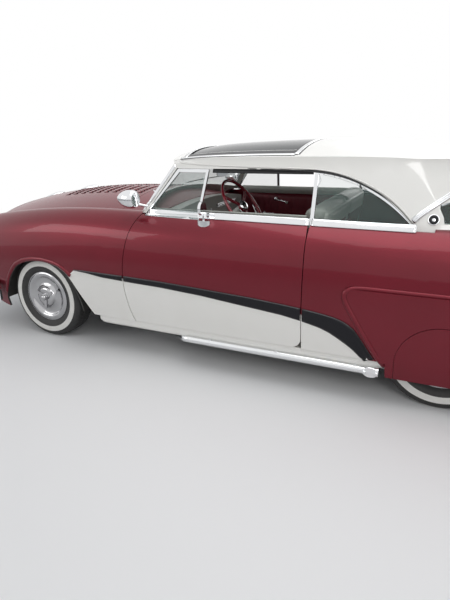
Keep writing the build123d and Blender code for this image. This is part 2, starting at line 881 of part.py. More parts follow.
def framed_pane(edges, gap, border):
    """Bright frame round a pane, cut from the greenhouse wall and set on the sill."""
    with BuildPart() as frame:
        add(house_walls(4, 20))
        add(pane_prism(edges, gap, WINDOW_LOW_Z - 40), mode=Mode.INTERSECT)
        add(pane_prism(edges, gap + border, WINDOW_LOW_Z), mode=Mode.SUBTRACT)
        add(house_walls(9, 9 + GLASS_THICKNESS))
        add(pane_prism(edges, gap, WINDOW_LOW_Z - 40), mode=Mode.INTERSECT)
        add(sill_blank.part, mode=Mode.SUBTRACT)
    return frame.part


with BuildPart() as sill_blank:
    for y in (-900, -200, 600, 1150):
        add(wall_section(y, 0, GROUND_CLEARANCE, WALL).moved(Location((0, 0, SEAT_GAP))))
    loft()

QUARTER_GLASS_EDGES = (DOOR_REAR_Y - 2, DOOR_REAR_Y - 2, 1400, 1400)
VENT_EDGES = (-900, -900, -283, -243)

with BuildPart() as quarter_window_left:
    add(framed_pane(QUARTER_GLASS_EDGES, SEAT_GAP, 22))
with BuildPart() as quarter_windows:
    add(quarter_window_left.part)
    mirror(quarter_window_left.part, about=Plane.YZ)
finish(quarter_windows.part, "quarter_windows")

with BuildPart() as vent_window_left:
    add(framed_pane(VENT_EDGES, SHUT_GAP + 1, 18))
with BuildPart() as vent_window_right:
    mirror(vent_window_left.part, about=Plane.YZ)
finish(vent_window_left.part, "vent_window_left")
finish(vent_window_right.part, "vent_window_right")

# Rear deck: shelf behind the seat, and the tail panel below the lid
LID_LOW_Z = 622
TAIL_LOW_Z = 350
BRACKET_REAR_X = 440
RAIL_REAR_Z = 365
LID_BRACKET_X = 450
LID_BRACKET_Z = 990


with BuildPart() as rear_deck:
    for y, crown in DECK_STATIONS:
        add(arched_strip(y, valley_x(y) - 0.5, valley_z(y), crown, HOOD_SHEET))
    loft()
    with BuildSketch(station(QUARTER_END_Y - 20)):
        with Locations((0, TAIL_LOW_Z)):
            Rectangle(
                2 * valley_x(QUARTER_END_Y) - 1,
                LID_LOW_Z - SHUT_GAP - TAIL_LOW_Z,
                align=(Align.CENTER, Align.MIN),
            )
    extrude(amount=-20)
    for side in (-1, 1):
        with Locations((side * BRACKET_REAR_X, QUARTER_END_Y, RAIL_REAR_Z)):
            Box(60, 80, 80, mode=Mode.SUBTRACT)
        with Locations((side * LID_BRACKET_X, LID_FRONT_Y - SHUT_GAP, LID_BRACKET_Z)):
            Box(60, 14, 66, align=(Align.CENTER, Align.MAX, Align.MIN))
finish(rear_deck.part, "rear_deck")

# Trunk lid: lofted across the car from side profiles
LID_HALF = valley_x(QUARTER_END_Y) - SHUT_GAP
LID_STATIONS = (
    # x, height over the valley at the front, the middle and the rear corner
    (-LID_HALF, 0, 0, 0),
    (0, 36, 40, 22),
    (LID_HALF, 0, 0, 0),
)


def lid_profile(x, front, middle, rear, sheet):
    """Side profile of the trunk lid: top arc, corner arc and back."""
    z_front = valley_z(LID_FRONT_Y) + front
    z_middle = valley_z(2120) + middle
    z_rear = valley_z(2380) + rear
    with BuildSketch(side_plane(x)) as section:
        with BuildLine():
            top = ThreePointArc((LID_FRONT_Y, z_front), (2120, z_middle), (2380, z_rear))
            corner = TangentArc(top @ 1, (2452, z_rear - 120), tangent=top % 1)
            back = Line(corner @ 1, (2446, LID_LOW_Z))
            Polyline(
                back @ 1,
                (2446 - sheet, LID_LOW_Z),
                (2452 - sheet, z_rear - 120),
                (2380 - sheet / 2, z_rear - sheet),
            )
            under = ThreePointArc(
                (2380 - sheet / 2, z_rear - sheet),
                (2120, z_middle - sheet),
                (LID_FRONT_Y, z_front - sheet),
            )
            Line(under @ 1, top @ 0)
        make_face()
    return section.sketch


with BuildPart() as trunk_lid:
    for x, front, middle, rear in LID_STATIONS:
        add(lid_profile(x, front, middle, rear, HOOD_SHEET))
    loft()
    for side in (-1, 1):
        with Locations(
            (side * LID_BRACKET_X, LID_FRONT_Y - SHUT_GAP + SEAT_GAP, LID_BRACKET_Z)
        ):
            Box(40, 34, 24, align=(Align.CENTER, Align.MIN, Align.MIN))
        with Locations((side * LID_BRACKET_X, LID_FRONT_Y + 8, LID_BRACKET_Z)):
            Box(40, 20, 54, align=(Align.CENTER, Align.MIN, Align.MIN))
finish(trunk_lid.part, "trunk_lid")

# Floor pan with its tunnel and the rear wheelhouses
FLOOR_Z = 262
FLOOR_SHEET = 12
FLOOR_HALF = HALF_WIDTH - WALL - 4
FLOOR_PROFILE = (
    # y, height of the top face
    (FIREWALL_Y + 16, 440),
    (-800, FLOOR_Z),
    (660, FLOOR_Z),
    (820, 530),
    (1700, 530),
    (1840, 420),
    (QUARTER_END_Y - 30, 420),
)
TUNNEL_HALF = 150
TUNNEL_TOP_Z = 400
WHEELHOUSE_RADIUS = 392
WHEELHOUSE_INNER_X = REAR_WHEEL_X - TYRE_WIDTH / 2 - 40


with BuildPart() as floor_pan:
    with BuildSketch(side_plane(-FLOOR_HALF)):
        with BuildLine():
            top_line = Polyline(*FLOOR_PROFILE)
            low_line = Polyline(*[(y, z - FLOOR_SHEET) for y, z in FLOOR_PROFILE])
            Line(top_line @ 0, low_line @ 0)
            Line(top_line @ 1, low_line @ 1)
        make_face()
    extrude(amount=2 * FLOOR_HALF)
    with BuildSketch(station(FIREWALL_Y + 22)):
        with Locations((0, FLOOR_Z - FLOOR_SHEET)):
            Trapezoid(
                2 * TUNNEL_HALF,
                TUNNEL_TOP_Z - FLOOR_Z,
                70,
                align=(Align.CENTER, Align.MIN),
            )
    extrude(amount=-1700)
    with BuildSketch(station(FIREWALL_Y)):
        with Locations((0, FLOOR_Z - FLOOR_SHEET - 20)):
            Trapezoid(
                2 * TUNNEL_HALF - 24,
                TUNNEL_TOP_Z - FLOOR_Z + 6,
                70,
                align=(Align.CENTER, Align.MIN),
            )
    extrude(amount=-1760, mode=Mode.SUBTRACT)
    for side in (-1, 1):
        inner = side * WHEELHOUSE_INNER_X
        with BuildSketch(side_plane(inner)):
            with Locations((REAR_AXLE_Y, TYRE_RADIUS)):
                Circle(WHEELHOUSE_RADIUS)
                Rectangle(
                    2 * WHEELHOUSE_RADIUS, 260, align=(Align.CENTER, Align.MAX)
                )
        extrude(amount=side * (FLOOR_HALF - WHEELHOUSE_INNER_X))
    for side in (-1, 1):
        inner = side * (WHEELHOUSE_INNER_X + FLOOR_SHEET)
        with BuildSketch(side_plane(inner)):
            with Locations((REAR_AXLE_Y, TYRE_RADIUS)):
                Circle(WHEELHOUSE_RADIUS - FLOOR_SHEET)
                Rectangle(
                    2 * (WHEELHOUSE_RADIUS - FLOOR_SHEET),
                    400,
                    align=(Align.CENTER, Align.MAX),
                )
        extrude(amount=side * 400, mode=Mode.SUBTRACT)
        with BuildSketch(side_plane(0)):
            with Locations((REAR_AXLE_Y, TYRE_RADIUS)):
                Circle(75)
        extrude(amount=side * 800, mode=Mode.SUBTRACT)
    with BuildSketch(level(GROUND_CLEARANCE + 20)):
        Rectangle(2 * HALF_WIDTH, LENGTH)
    extrude(amount=-GROUND_CLEARANCE - 200, mode=Mode.SUBTRACT)
finish(floor_pan.part, "floor_pan")

# Ladder frame: rails that kick up over both axles
RAIL_PLAN = (
    # x, y of the rail's centre line from above
    (380, FENDER_FRONT_Y),
    (380, -1250),
    (560, -900),
    (560, 560),
    (440, 820),
    (440, QUARTER_END_Y - 40),
)
RAIL_SIDE = (
    # y, z of the rail's centre line from the side
    (FENDER_FRONT_Y, 400),
    (-1330, 400),
    (-960, 208),
    (700, 208),
    (900, 455),
    (1560, 455),
    (1780, 365),
    (QUARTER_END_Y - 40, 365),
)
RAIL_WIDTH = 70
RAIL_DEPTH = 78
CROSSMEMBERS = (
    # y, z middle, half width, length, depth
    (FENDER_FRONT_Y + 60, 400, 380, 60, 60),
    (FRONT_AXLE_Y, 331, 500, 140, 60),
    (-500, 208, 560, 80, 50),
    (300, 208, 560, 80, 50),
    (980, 455, 440, 70, 60),
    (1700, 365, 440, 60, 60),
    (QUARTER_END_Y - 80, 365, 440, 60, 60),
)
SPRING_X = 522
SPRING_FRONT_Y = 800
SPRING_REAR_Y = 1900
SPRING_WIDTH = 44
HANGER = 34

with BuildPart() as chassis_frame:
    for side in (-1, 1):
        with BuildPart(mode=Mode.ADD):
            with BuildSketch(level(0)):
                with BuildLine():
                    Polyline(*[(side * x, y) for x, y in RAIL_PLAN])
                trace(line_width=RAIL_WIDTH)
            extrude(amount=700)
            with BuildSketch(side_plane(0)):
                with BuildLine():
                    Polyline(*RAIL_SIDE)
                trace(line_width=RAIL_DEPTH)
            extrude(amount=800, both=True, mode=Mode.INTERSECT)
    for y, z, half, length, depth in CROSSMEMBERS:
        with Locations((0, y, z)):
            Box(2 * half, length, depth)
    for side in (-1, 1):
        for y in (SPRING_FRONT_Y - HANGER / 2 - 6, SPRING_REAR_Y + HANGER / 2 + 6):
            with Locations((side * (SPRING_X - 20), y, 345)):
                Box(SPRING_WIDTH + 70, HANGER - 2 * SEAT_GAP, 70)
finish(chassis_frame.part, "chassis_frame")

# Engine with its gearbox, as one plain mass
ENGINE_FRONT_Y = -1960
ENGINE_REAR_Y = -1270
GEARBOX_REAR_Y = -560
ENGINE_LOW_Z = 361 + SEAT_GAP

with BuildPart() as engine:
    with Locations((0, (ENGINE_FRONT_Y + ENGINE_REAR_Y) / 2, ENGINE_LOW_Z)):
        Box(
            500,
            ENGINE_REAR_Y - ENGINE_FRONT_Y,
            556,
            align=(Align.CENTER, Align.CENTER, Align.MIN),
        )
    with Locations((0, (ENGINE_REAR_Y + GEARBOX_REAR_Y) / 2, 318)):
        Box(150, GEARBOX_REAR_Y - ENGINE_REAR_Y, 104)
    with Locations((0, ENGINE_REAR_Y + 60, 460)):
        Box(240, 120, 240)
finish(engine.part, "engine")

# Side pipes: each runs from the engine, under the rail and along the rocker
PIPE_RADIUS = 24
PIPE_X = HALF_WIDTH - 25
PIPE_Z = GROUND_CLEARANCE + 11
PIPE_START_Y = -376
PIPE_END_Y = 921
PIPE_CAP_RADIUS = 30
PIPE_BRACKETS = (-180, 300, 800)
PIPE_ROUTE = (
    (290, -1500, 345),
    (290, -1150, 200),
    (330, -800, 140),
    (700, -560, 140),
    (PIPE_X, PIPE_START_Y, PIPE_Z),
    (PIPE_X, PIPE_END_Y, PIPE_Z),
)

with BuildPart() as pipe_left:
    with BuildLine():
        FilletPolyline(*PIPE_ROUTE, radius=60)
    with BuildSketch(Plane(origin=PIPE_ROUTE[-1], z_dir=(0, 1, 0))):
        Circle(PIPE_RADIUS)
    sweep()
    with BuildSketch(station(PIPE_END_Y - 8)):
        with Locations((PIPE_X, PIPE_Z)):
            Circle(PIPE_CAP_RADIUS)
    extrude(amount=-26)
    for y in PIPE_BRACKETS:
        with Locations((PIPE_X - 14, y, PIPE_Z + 12)):
            Box(56, 20, 30)
    for shift in ((SEAT_GAP, 0, 0), (0, 0, -SEAT_GAP)):
        add(rocker_left.part.moved(Location(shift)), mode=Mode.SUBTRACT)

with BuildPart() as exhaust:
    add(pipe_left.part)
    mirror(pipe_left.part, about=Plane.YZ)
finish(exhaust.part, "exhaust")

# Fuel tank under the trunk floor
with BuildPart() as fuel_tank:
    with Locations((0, 2060, 326.35)):
        Box(780, 420, 162.7)
    fillet(fuel_tank.edges().filter_by(Axis.Y), radius=40)
finish(fuel_tank.part, "fuel_tank")

# Rear axle with its springs and the driveshaft
AXLE_TUBE_RADIUS = 42
DIFFERENTIAL_RADIUS = 128
DRUM_RADIUS = 140
BACKING_INSET = 66
BACKING_SHEET = 6

with BuildPart() as rear_axle:
    axle_end = REAR_WHEEL_X - BACKING_INSET
    with BuildSketch(side_plane(-axle_end)):
        with Locations((REAR_AXLE_Y, TYRE_RADIUS)):
            Circle(AXLE_TUBE_RADIUS)
    extrude(amount=2 * axle_end)
    with Locations((0, REAR_AXLE_Y, TYRE_RADIUS)):
        Sphere(DIFFERENTIAL_RADIUS)
    for side in (-1, 1):
        with BuildSketch(side_plane(side * axle_end)):
            with Locations((REAR_AXLE_Y, TYRE_RADIUS)):
                Circle(DRUM_RADIUS - 6)
        extrude(amount=side * BACKING_SHEET)
        with BuildSketch(side_plane(side * (axle_end + BACKING_SHEET))):
            with Locations((REAR_AXLE_Y, TYRE_RADIUS)):
                Circle(18)
        extrude(amount=side * 50)
        with BuildSketch(side_plane(side * SPRING_X - SPRING_WIDTH / 2)):
            with BuildLine():
                ThreePointArc(
                    (SPRING_FRONT_Y, 345),
                    (REAR_AXLE_Y, TYRE_RADIUS - AXLE_TUBE_RADIUS - 12),
                    (SPRING_REAR_Y, 345),
                )
            trace(line_width=34)
        extrude(amount=SPRING_WIDTH)
    with BuildLine():
        Line((0, GEARBOX_REAR_Y + 1, 318), (0, REAR_AXLE_Y - 60, TYRE_RADIUS))
    with BuildSketch(Plane(origin=(0, GEARBOX_REAR_Y + 1, 318), z_dir=(0, 1, 0.0153))):
        Circle(36)
    sweep()
finish(rear_axle.part, "rear_axle")

# Front suspension: arms and coil springs on the crossmember
KINGPIN_X = FRONT_WHEEL_X - 86
LOWER_ARM_Z = 231
UPPER_ARM_Z = 460
ARM_SHEET = 18
COIL_X = 455

with BuildPart() as arms_left:
    for z, inner, root_half, tip_half in (
        (LOWER_ARM_Z, 350, 140, 30),
        (UPPER_ARM_Z, 385, 95, 26),
    ):
        with BuildSketch(level(z - ARM_SHEET / 2)):
            Polygon(
                (inner, FRONT_AXLE_Y - root_half),
                (KINGPIN_X, FRONT_AXLE_Y - tip_half),
                (KINGPIN_X, FRONT_AXLE_Y + tip_half),
                (inner, FRONT_AXLE_Y + root_half),
                align=None,
            )
        extrude(amount=ARM_SHEET)
    with BuildSketch(level(LOWER_ARM_Z + ARM_SHEET / 2)):
        with Locations((COIL_X, FRONT_AXLE_Y)):
            Circle(52)
            Circle(40, mode=Mode.SUBTRACT)
    extrude(amount=61 - SEAT_GAP)
    with BuildSketch(level(439 + SEAT_GAP)):
        with Locations((400, FRONT_AXLE_Y)):
            Rectangle(26, 170)
    extrude(amount=14)

with BuildPart() as front_suspension:
    add(arms_left.part)
    mirror(arms_left.part, about=Plane.YZ)
finish(front_suspension.part, "front_suspension")

# Steering knuckle: kingpin, spindle, backing plate and steering arm
KINGPIN_RADIUS = 17
KINGPIN_LOW_Z = LOWER_ARM_Z + ARM_SHEET / 2 + SEAT_GAP
KINGPIN_HIGH_Z = UPPER_ARM_Z - ARM_SHEET / 2 - SEAT_GAP

with BuildPart() as knuckle_left:
    with BuildSketch(level(KINGPIN_LOW_Z)):
        with Locations((KINGPIN_X, FRONT_AXLE_Y)):
            Circle(KINGPIN_RADIUS)
    extrude(amount=KINGPIN_HIGH_Z - KINGPIN_LOW_Z)
    for start, end, radius in (
        (KINGPIN_X, FRONT_WHEEL_X - BACKING_INSET, 30),
        (FRONT_WHEEL_X - BACKING_INSET, FRONT_WHEEL_X - 60, DRUM_RADIUS - 6),
        (FRONT_WHEEL_X - 60, FRONT_WHEEL_X - 12, 18),
    ):
        with BuildSketch(side_plane(start)):
            with Locations((FRONT_AXLE_Y, TYRE_RADIUS)):
                Circle(radius)
        extrude(amount=end - start)
    with BuildSketch(level(290)):
        Polygon(
            (KINGPIN_X - 12, FRONT_AXLE_Y),
            (KINGPIN_X + 12, FRONT_AXLE_Y),
            (KINGPIN_X - 18, FRONT_AXLE_Y + 150),
            (KINGPIN_X - 42, FRONT_AXLE_Y + 150),
            align=None,
        )
    extrude(amount=20)

with BuildPart() as knuckle_right:
    mirror(knuckle_left.part, about=Plane.YZ)
finish(knuckle_left.part, "knuckle_left")
finish(knuckle_right.part, "knuckle_right")

# Wheel: rim, drum and full cover, about the X axis with the cover at +X
RIM_PROFILE = (
    # along the axle, radius
    (-80, 207), (-76, 207), (-75, 192), (-45, 186), (-30, 166), (25, 166),
    (45, 186), (75, 192), (76, 207), (80, 207), (80, 187), (48, 180),
    (28, 160), (12, 160), (12, 30), (4, 30), (4, 160), (-33, 160),
    (-48, 180), (-80, 187),
)
DRUM_PROFILE = (
    (-56, 140), (6, 140), (6, 18.3), (-14, 18.3), (-14, 60), (-6, 128), (-56, 128),
)
TYRE_HALF = TYRE_WIDTH / 2
BULLET_RADIUS = 26
BULLET_BASE = 112
SPINNER_BARS = 3
SPINNER_REACH = 96
SPINNER_FOOT = 96
SPINNER_THICKNESS = 14
SPINNER_FILLET = 5

with BuildPart() as wheel:
    with BuildSketch(Plane.XZ):
        with BuildLine():
            Polyline(*RIM_PROFILE, close=True)
        make_face()
    revolve(axis=Axis.X)
    with BuildSketch(Plane.XZ):
        with BuildLine():
            Polyline(*DRUM_PROFILE, close=True)
        make_face()
    revolve(axis=Axis.X)
    with BuildSketch(Plane.XZ):
        with BuildLine():
            lip = ThreePointArc((79, 203), (85, 184), (74, 160))
            ThreePointArc((74, 160), (66, 118), (84, 84))
            shoulder = ThreePointArc((84, 84), (98, 72), (102, 52))
            Line(shoulder @ 1, (100, BULLET_RADIUS))
            Line((100, BULLET_RADIUS), (BULLET_BASE, BULLET_RADIUS))
            CenterArc((BULLET_BASE, 0), BULLET_RADIUS, 90, -90)
            Polyline(
                (BULLET_BASE + BULLET_RADIUS, 0),
                (BULLET_BASE, 0),
                (SPINNER_FOOT, 0),
                (SPINNER_FOOT, 48),
                (80, 80),
            )
            back = ThreePointArc((80, 80), (62, 118), (70, 160))
            Polyline(back @ 1, (79, 189), lip @ 0)
        make_face()
    revolve(axis=Axis.X)
    with BuildSketch(side_plane(SPINNER_FOOT)):
        with PolarLocations(0, SPINNER_BARS, start_angle=30):
            Polygon(
                (0, -18), (SPINNER_REACH, -9), (SPINNER_REACH, 9), (0, 18), align=None
            )
    extrude(amount=SPINNER_THICKNESS)
    fillet(wheel.edges().filter_by(GeomType.LINE).filter_by(Axis.X), radius=SPINNER_FILLET)

with BuildPart() as tyre:
    with BuildSketch(Plane.XZ):
        with BuildLine():
            wall = ThreePointArc((74.5, 208), (TYRE_HALF, 262), (86, 326))
            Line(wall @ 1, (74, 341))
            tread = ThreePointArc((74, 341), (0, TYRE_RADIUS), (-74, 341))
            Line(tread @ 1, (-86, 326))
            far_wall = ThreePointArc((-86, 326), (-TYRE_HALF, 262), (-74.5, 208))
            Polyline(far_wall @ 1, (-74.5, 193), (-58, 190), (-56, 204))
            far_inner = ThreePointArc((-56, 204), (-84, 262), (-70, 318))
            Line(far_inner @ 1, (70, 318))
            inner = ThreePointArc((70, 318), (84, 262), (56, 204))
            Polyline(inner @ 1, (58, 190), (74.5, 193), wall @ 0)
        make_face()
    revolve(axis=Axis.X)

WHEEL_PLACES = (
    # name, x, y, side
    ("front_left", FRONT_WHEEL_X, FRONT_AXLE_Y, 1),
    ("front_right", FRONT_WHEEL_X, FRONT_AXLE_Y, -1),
    ("rear_left", REAR_WHEEL_X, REAR_AXLE_Y, 1),
    ("rear_right", REAR_WHEEL_X, REAR_AXLE_Y, -1),
)

for name, x, y, side in WHEEL_PLACES:
    turn = 0 if side > 0 else 180
    place = Location((side * x, y, TYRE_RADIUS), (0, 0, turn))
    with BuildPart() as placed_wheel:
        add(wheel.part.moved(place))
    with BuildPart() as placed_tyre:
        add(tyre.part.moved(place))
    finish(placed_wheel.part, "wheel_" + name)
    finish(placed_tyre.part, "tyre_" + name)

# Seats
FRONT_SEAT_HALF = 640
FRONT_CUSHION = ((-190, 400), (-200, 570), (260, 590), (340, 400))
FRONT_BACK = ((250, 560), (400, 1160), (540, 1150), (400, 520))
REAR_SEAT_HALF = WHEELHOUSE_INNER_X - 10
REAR_BACK_HALF = 645
REAR_CUSHION = ((842, 530.3), (842, 690), (1200, 670), (1200, 530.3))
REAR_BACK = ((1160, 660), (1265, 1040), (1394, 1030), (1360, 660))


def seat_slab(points, half, radius):
    """Padded slab across the car from a side outline."""
    with BuildPart() as slab:
        with BuildSketch(side_plane(-half)):
            with BuildLine():
                Polyline(*points, close=True)
            make_face()
        extrude(amount=2 * half)
        fillet(slab.edges().filter_by(Axis.X), radius=radius)
    return slab.part


with BuildPart() as front_seat:
    with Locations((0, 70, (FLOOR_Z + 400) / 2 + 5)):
        Box(2 * FRONT_SEAT_HALF - 160, 380, 400 - FLOOR_Z + 10 - 2 * SEAT_GAP)
    with Locations((0, 70, FLOOR_Z)):
        Box(2 * TUNNEL_HALF + 20, 500, 2 * (TUNNEL_TOP_Z - FLOOR_Z) + 8, mode=Mode.SUBTRACT)
    add(seat_slab(FRONT_CUSHION, FRONT_SEAT_HALF, 40))
    add(seat_slab(FRONT_BACK, FRONT_SEAT_HALF, 40))
finish(front_seat.part, "front_seat")

with BuildPart() as rear_seat:
    add(seat_slab(REAR_CUSHION, REAR_SEAT_HALF, 30))
    add(seat_slab(REAR_BACK, REAR_BACK_HALF, 30))
    with BuildSketch(level(0)):
        for side in (-1, 1):
            with Locations((side * (REAR_SEAT_HALF + 200), REAR_AXLE_Y)):
                Rectangle(400, 1000)
    extrude(amount=TYRE_RADIUS + WHEELHOUSE_RADIUS + 12, mode=Mode.SUBTRACT)
finish(rear_seat.part, "rear_seat")

# Dashboard with the steering column under it
WHEEL_HUB = (380, -150, 1085)
COLUMN_TILT = 35
COLUMN_RADIUS = 21
DASH_HALF = 645
DASH_FRONT_Y = COWL_REAR_Y + SEAT_GAP
DASH_DEPTH = 95
DASH_LOW_Z = 800

column_y = math.cos(math.radians(COLUMN_TILT))
column_z = math.sin(math.radians(COLUMN_TILT))
column_plane = Plane(origin=WHEEL_HUB, x_dir=(1, 0, 0), z_dir=(0, -column_y, -column_z))

with BuildPart() as dashboard:
    with BuildSketch(station(DASH_FRONT_Y)):
        with BuildLine():
            top = ThreePointArc((-DASH_HALF, 1036), (0, 1088), (DASH_HALF, 1036))
            Polyline(top @ 1, (DASH_HALF, DASH_LOW_Z), (-DASH_HALF, DASH_LOW_Z), top @ 0)
        make_face()
    extrude(amount=-DASH_DEPTH)
    with BuildSketch(column_plane.offset(20 + SEAT_GAP)):
        Circle(COLUMN_RADIUS)
    extrude(amount=980)
    with Locations((WHEEL_HUB[0], DASH_FRONT_Y + DASH_DEPTH / 2, 780)):
        Box(90, 60, 60)
finish(dashboard.part, "dashboard")

# Steering wheel: rim, three spokes and hub
RIM_RADIUS = 215
RIM_TUBE = 11

with BuildPart() as steering_wheel:
    with BuildSketch(Plane.XZ):
        with Locations((RIM_RADIUS, 0)):
            Circle(RIM_TUBE)
    revolve(axis=Axis.Z)
    Cylinder(34, 40)
    with BuildSketch(Plane.XY.offset(-5)):
        with PolarLocations(0, 3, start_angle=90):
            with Locations((RIM_RADIUS / 2, 0)):
                Rectangle(RIM_RADIUS, 20)
    extrude(amount=10)

hub_plane = Plane(origin=WHEEL_HUB, x_dir=(1, 0, 0), z_dir=(0, column_y, column_z))
with BuildPart() as placed_steering_wheel:
    add(steering_wheel.part.moved(hub_plane.location))
finish(placed_steering_wheel.part, "steering_wheel")

# Door mirror on its stand
MIRROR_X = 826
MIRROR_Y = -236
MIRROR_BASE_Z = 990

with BuildPart() as door_mirror:
    with BuildSketch(level(MIRROR_BASE_Z)):
        with Locations((MIRROR_X, MIRROR_Y)):
            Ellipse(20, 46)
    extrude(amount=60)
    with BuildSketch(level(MIRROR_BASE_Z + 50)):
        with Locations((MIRROR_X, MIRROR_Y)):
            Circle(8)
    extrude(amount=70)
    with BuildSketch(station(MIRROR_Y - 12)):
        with Locations((MIRROR_X + 14, MIRROR_BASE_Z + 140)):
            Circle(44)
    extrude(amount=-20)
    add(sill_blank.part, mode=Mode.SUBTRACT)
finish(door_mirror.part, "door_mirror")

# Bullet spotlights on the windshield pillars
SPOT_X = 868
SPOT_Y = -790
SPOT_Z = 1175
SPOT_FOOT = (764, -694, 1112)

with BuildPart() as spot_left:
    with BuildSketch(Plane(origin=(SPOT_X, SPOT_Y, SPOT_Z), x_dir=(0, 0, 1), z_dir=(1, 0, 0))):
        with BuildLine():
            shell = ThreePointArc((0, 95), (48, 40), (58, -50))
            Polyline(shell @ 1, (50, -62), (0, -66), (0, 95))
        make_face()
    revolve(axis=Axis((SPOT_X, SPOT_Y, SPOT_Z), (0, 1, 0)))
    with BuildLine():
        Line((SPOT_X, SPOT_Y, SPOT_Z - 20), SPOT_FOOT)
    with BuildSketch(
        Plane(
            origin=(SPOT_X, SPOT_Y, SPOT_Z - 20),
            z_dir=(SPOT_FOOT[0] - SPOT_X, SPOT_FOOT[1] - SPOT_Y, SPOT_FOOT[2] - SPOT_Z + 20),
        )
    ):
        Circle(9)
    sweep()
    for z, corners in ((HOUSE_BASE_Z, HOUSE_BASE), (HOUSE_TOP_Z, HOUSE_TOP)):
        add(house_outline(z, corners, -SEAT_GAP))
    loft(mode=Mode.SUBTRACT)

with BuildPart() as spotlights:
    add(spot_left.part)
    mirror(spot_left.part, about=Plane.YZ)
finish(spotlights.part, "spotlights")

# Headlights and tail lights
TAIL_LIGHT_X = 735
TAIL_LIGHT_Z = 760

with BuildPart() as headlight_left:
    with BuildSketch(station(FENDER_FRONT_Y + 40)):
        with Locations((HEADLIGHT_X, HEADLIGHT_Z)):
            Circle(HEADLIGHT_RADIUS - SEAT_GAP)
    extrude(amount=66, taper=8)

with BuildPart() as headlights:
    add(headlight_left.part)
    mirror(headlight_left.part, about=Plane.YZ)
finish(headlights.part, "headlights")

with BuildPart() as tail_light_left:
    with BuildSketch(station(QUARTER_END_Y + SEAT_GAP)):
        with Locations((TAIL_LIGHT_X, TAIL_LIGHT_Z)):
            Ellipse(48, 95)
    extrude(amount=-36)
    fillet(tail_light_left.faces().sort_by(Axis.Y)[-1].edges(), radius=16)

with BuildPart() as tail_lights:
    add(tail_light_left.part)
    mirror(tail_light_left.part, about=Plane.YZ)
finish(tail_lights.part, "tail_lights")

# Bumpers: wraparound blades on brackets from the frame
BUMPER_SHEET = 24
BUMPER_DEPTH = 150
BUMPER_FRONT_Z = 290
BUMPER_REAR_Z = 330


def bumper(end, corner_x, side_x, wrap_y, low_z, bracket_x, bracket_z, frame_y):
    """Blade with a wrapped end; end is -1 at the nose and 1 at the tail."""
    face_y = end * (LENGTH / 2 - BUMPER_SHEET / 2)
    corner_y = face_y - end * 52
    with BuildPart() as blade:
        with BuildSketch(level(low_z)):
            with BuildLine():
                middle = ThreePointArc(
                    (-corner_x, corner_y), (0, face_y), (corner_x, corner_y)
                )
                for hand, start, along in (
                    (1, middle @ 1, middle % 1),
                    (-1, middle @ 0, (middle % 0) * -1),
                ):
                    wrap = TangentArc(
                        start, (hand * side_x, face_y - end * 240), tangent=along
                    )
                    Line(wrap @ 1, (hand * (side_x + 3), wrap_y))
            trace(line_width=BUMPER_SHEET)
        extrude(amount=BUMPER_DEPTH)
        for side in (-1, 1):
            length = abs(face_y - frame_y) - 2 * SEAT_GAP
            with Locations((side * bracket_x, (face_y + frame_y) / 2, bracket_z)):
                Box(46, length, 60)
    return blade.part


with BuildPart() as front_bumper:
    add(bumper(-1, 740, 905, -2160, BUMPER_FRONT_Z, 380, 400, FENDER_FRONT_Y - SEAT_GAP))
with BuildPart() as rear_bumper:
    add(
        bumper(
            1,
            790,
            930,
            2110,
            BUMPER_REAR_Z,
            BRACKET_REAR_X,
            RAIL_REAR_Z,
            QUARTER_END_Y - 40 + SEAT_GAP,
        )
    )
finish(front_bumper.part, "front_bumper")
finish(rear_bumper.part, "rear_bumper")

# Grille: a surround with a floating bar and teeth
GRILLE_HALF = valley_x(FENDER_FRONT_Y)
GRILLE_LOW_Z = 500
GRILLE_TOP_Z = 800
GRILLE_RISE = 55
GRILLE_Y = FENDER_FRONT_Y - 30
GRILLE_BORDER = 34
TOOTH_COUNT = 11
TOOTH_PITCH = 92


def grille_outline(border):
    with BuildSketch(station(GRILLE_Y + 60)) as outline:
        with BuildLine():
            half = GRILLE_HALF - border
            top_z = GRILLE_TOP_Z - border
            low_z = GRILLE_LOW_Z + border
            top = ThreePointArc((half, top_z), (0, top_z + GRILLE_RISE), (-half, top_z))
            Polyline(top @ 1, (-half, low_z), (half, low_z), top @ 0)
        make_face()
    return outline.sketch


with BuildPart() as grille:
    extrude(grille_outline(0), amount=60, dir=(0, -1, 0))
    extrude(grille_outline(GRILLE_BORDER), amount=60, dir=(0, -1, 0), mode=Mode.SUBTRACT)
    with Locations((0, GRILLE_Y + 30, 655)):
        Box(2 * GRILLE_HALF - 30, 40, 56)
    for index in range(TOOTH_COUNT):
        x = (index - (TOOTH_COUNT - 1) / 2) * TOOTH_PITCH
        with Locations((x, GRILLE_Y + 36, 655)):
            Box(18, 24, 330 - abs(x) * 0.08)
    with Locations((0, GRILLE_Y + 14, (GRILLE_LOW_Z + 345) / 2)):
        Box(2 * GRILLE_HALF, 20, GRILLE_LOW_Z - 345 + 4)
    for side in (-1, 1):
        with Locations((side * 380, GRILLE_Y + 14, 400)):
            Box(60, 60, 74, mode=Mode.SUBTRACT)
finish(grille.part, "grille")
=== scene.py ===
import math

import bmesh
import bpy
from mathutils import Matrix, Vector
from mathutils.bvhtree import BVHTree


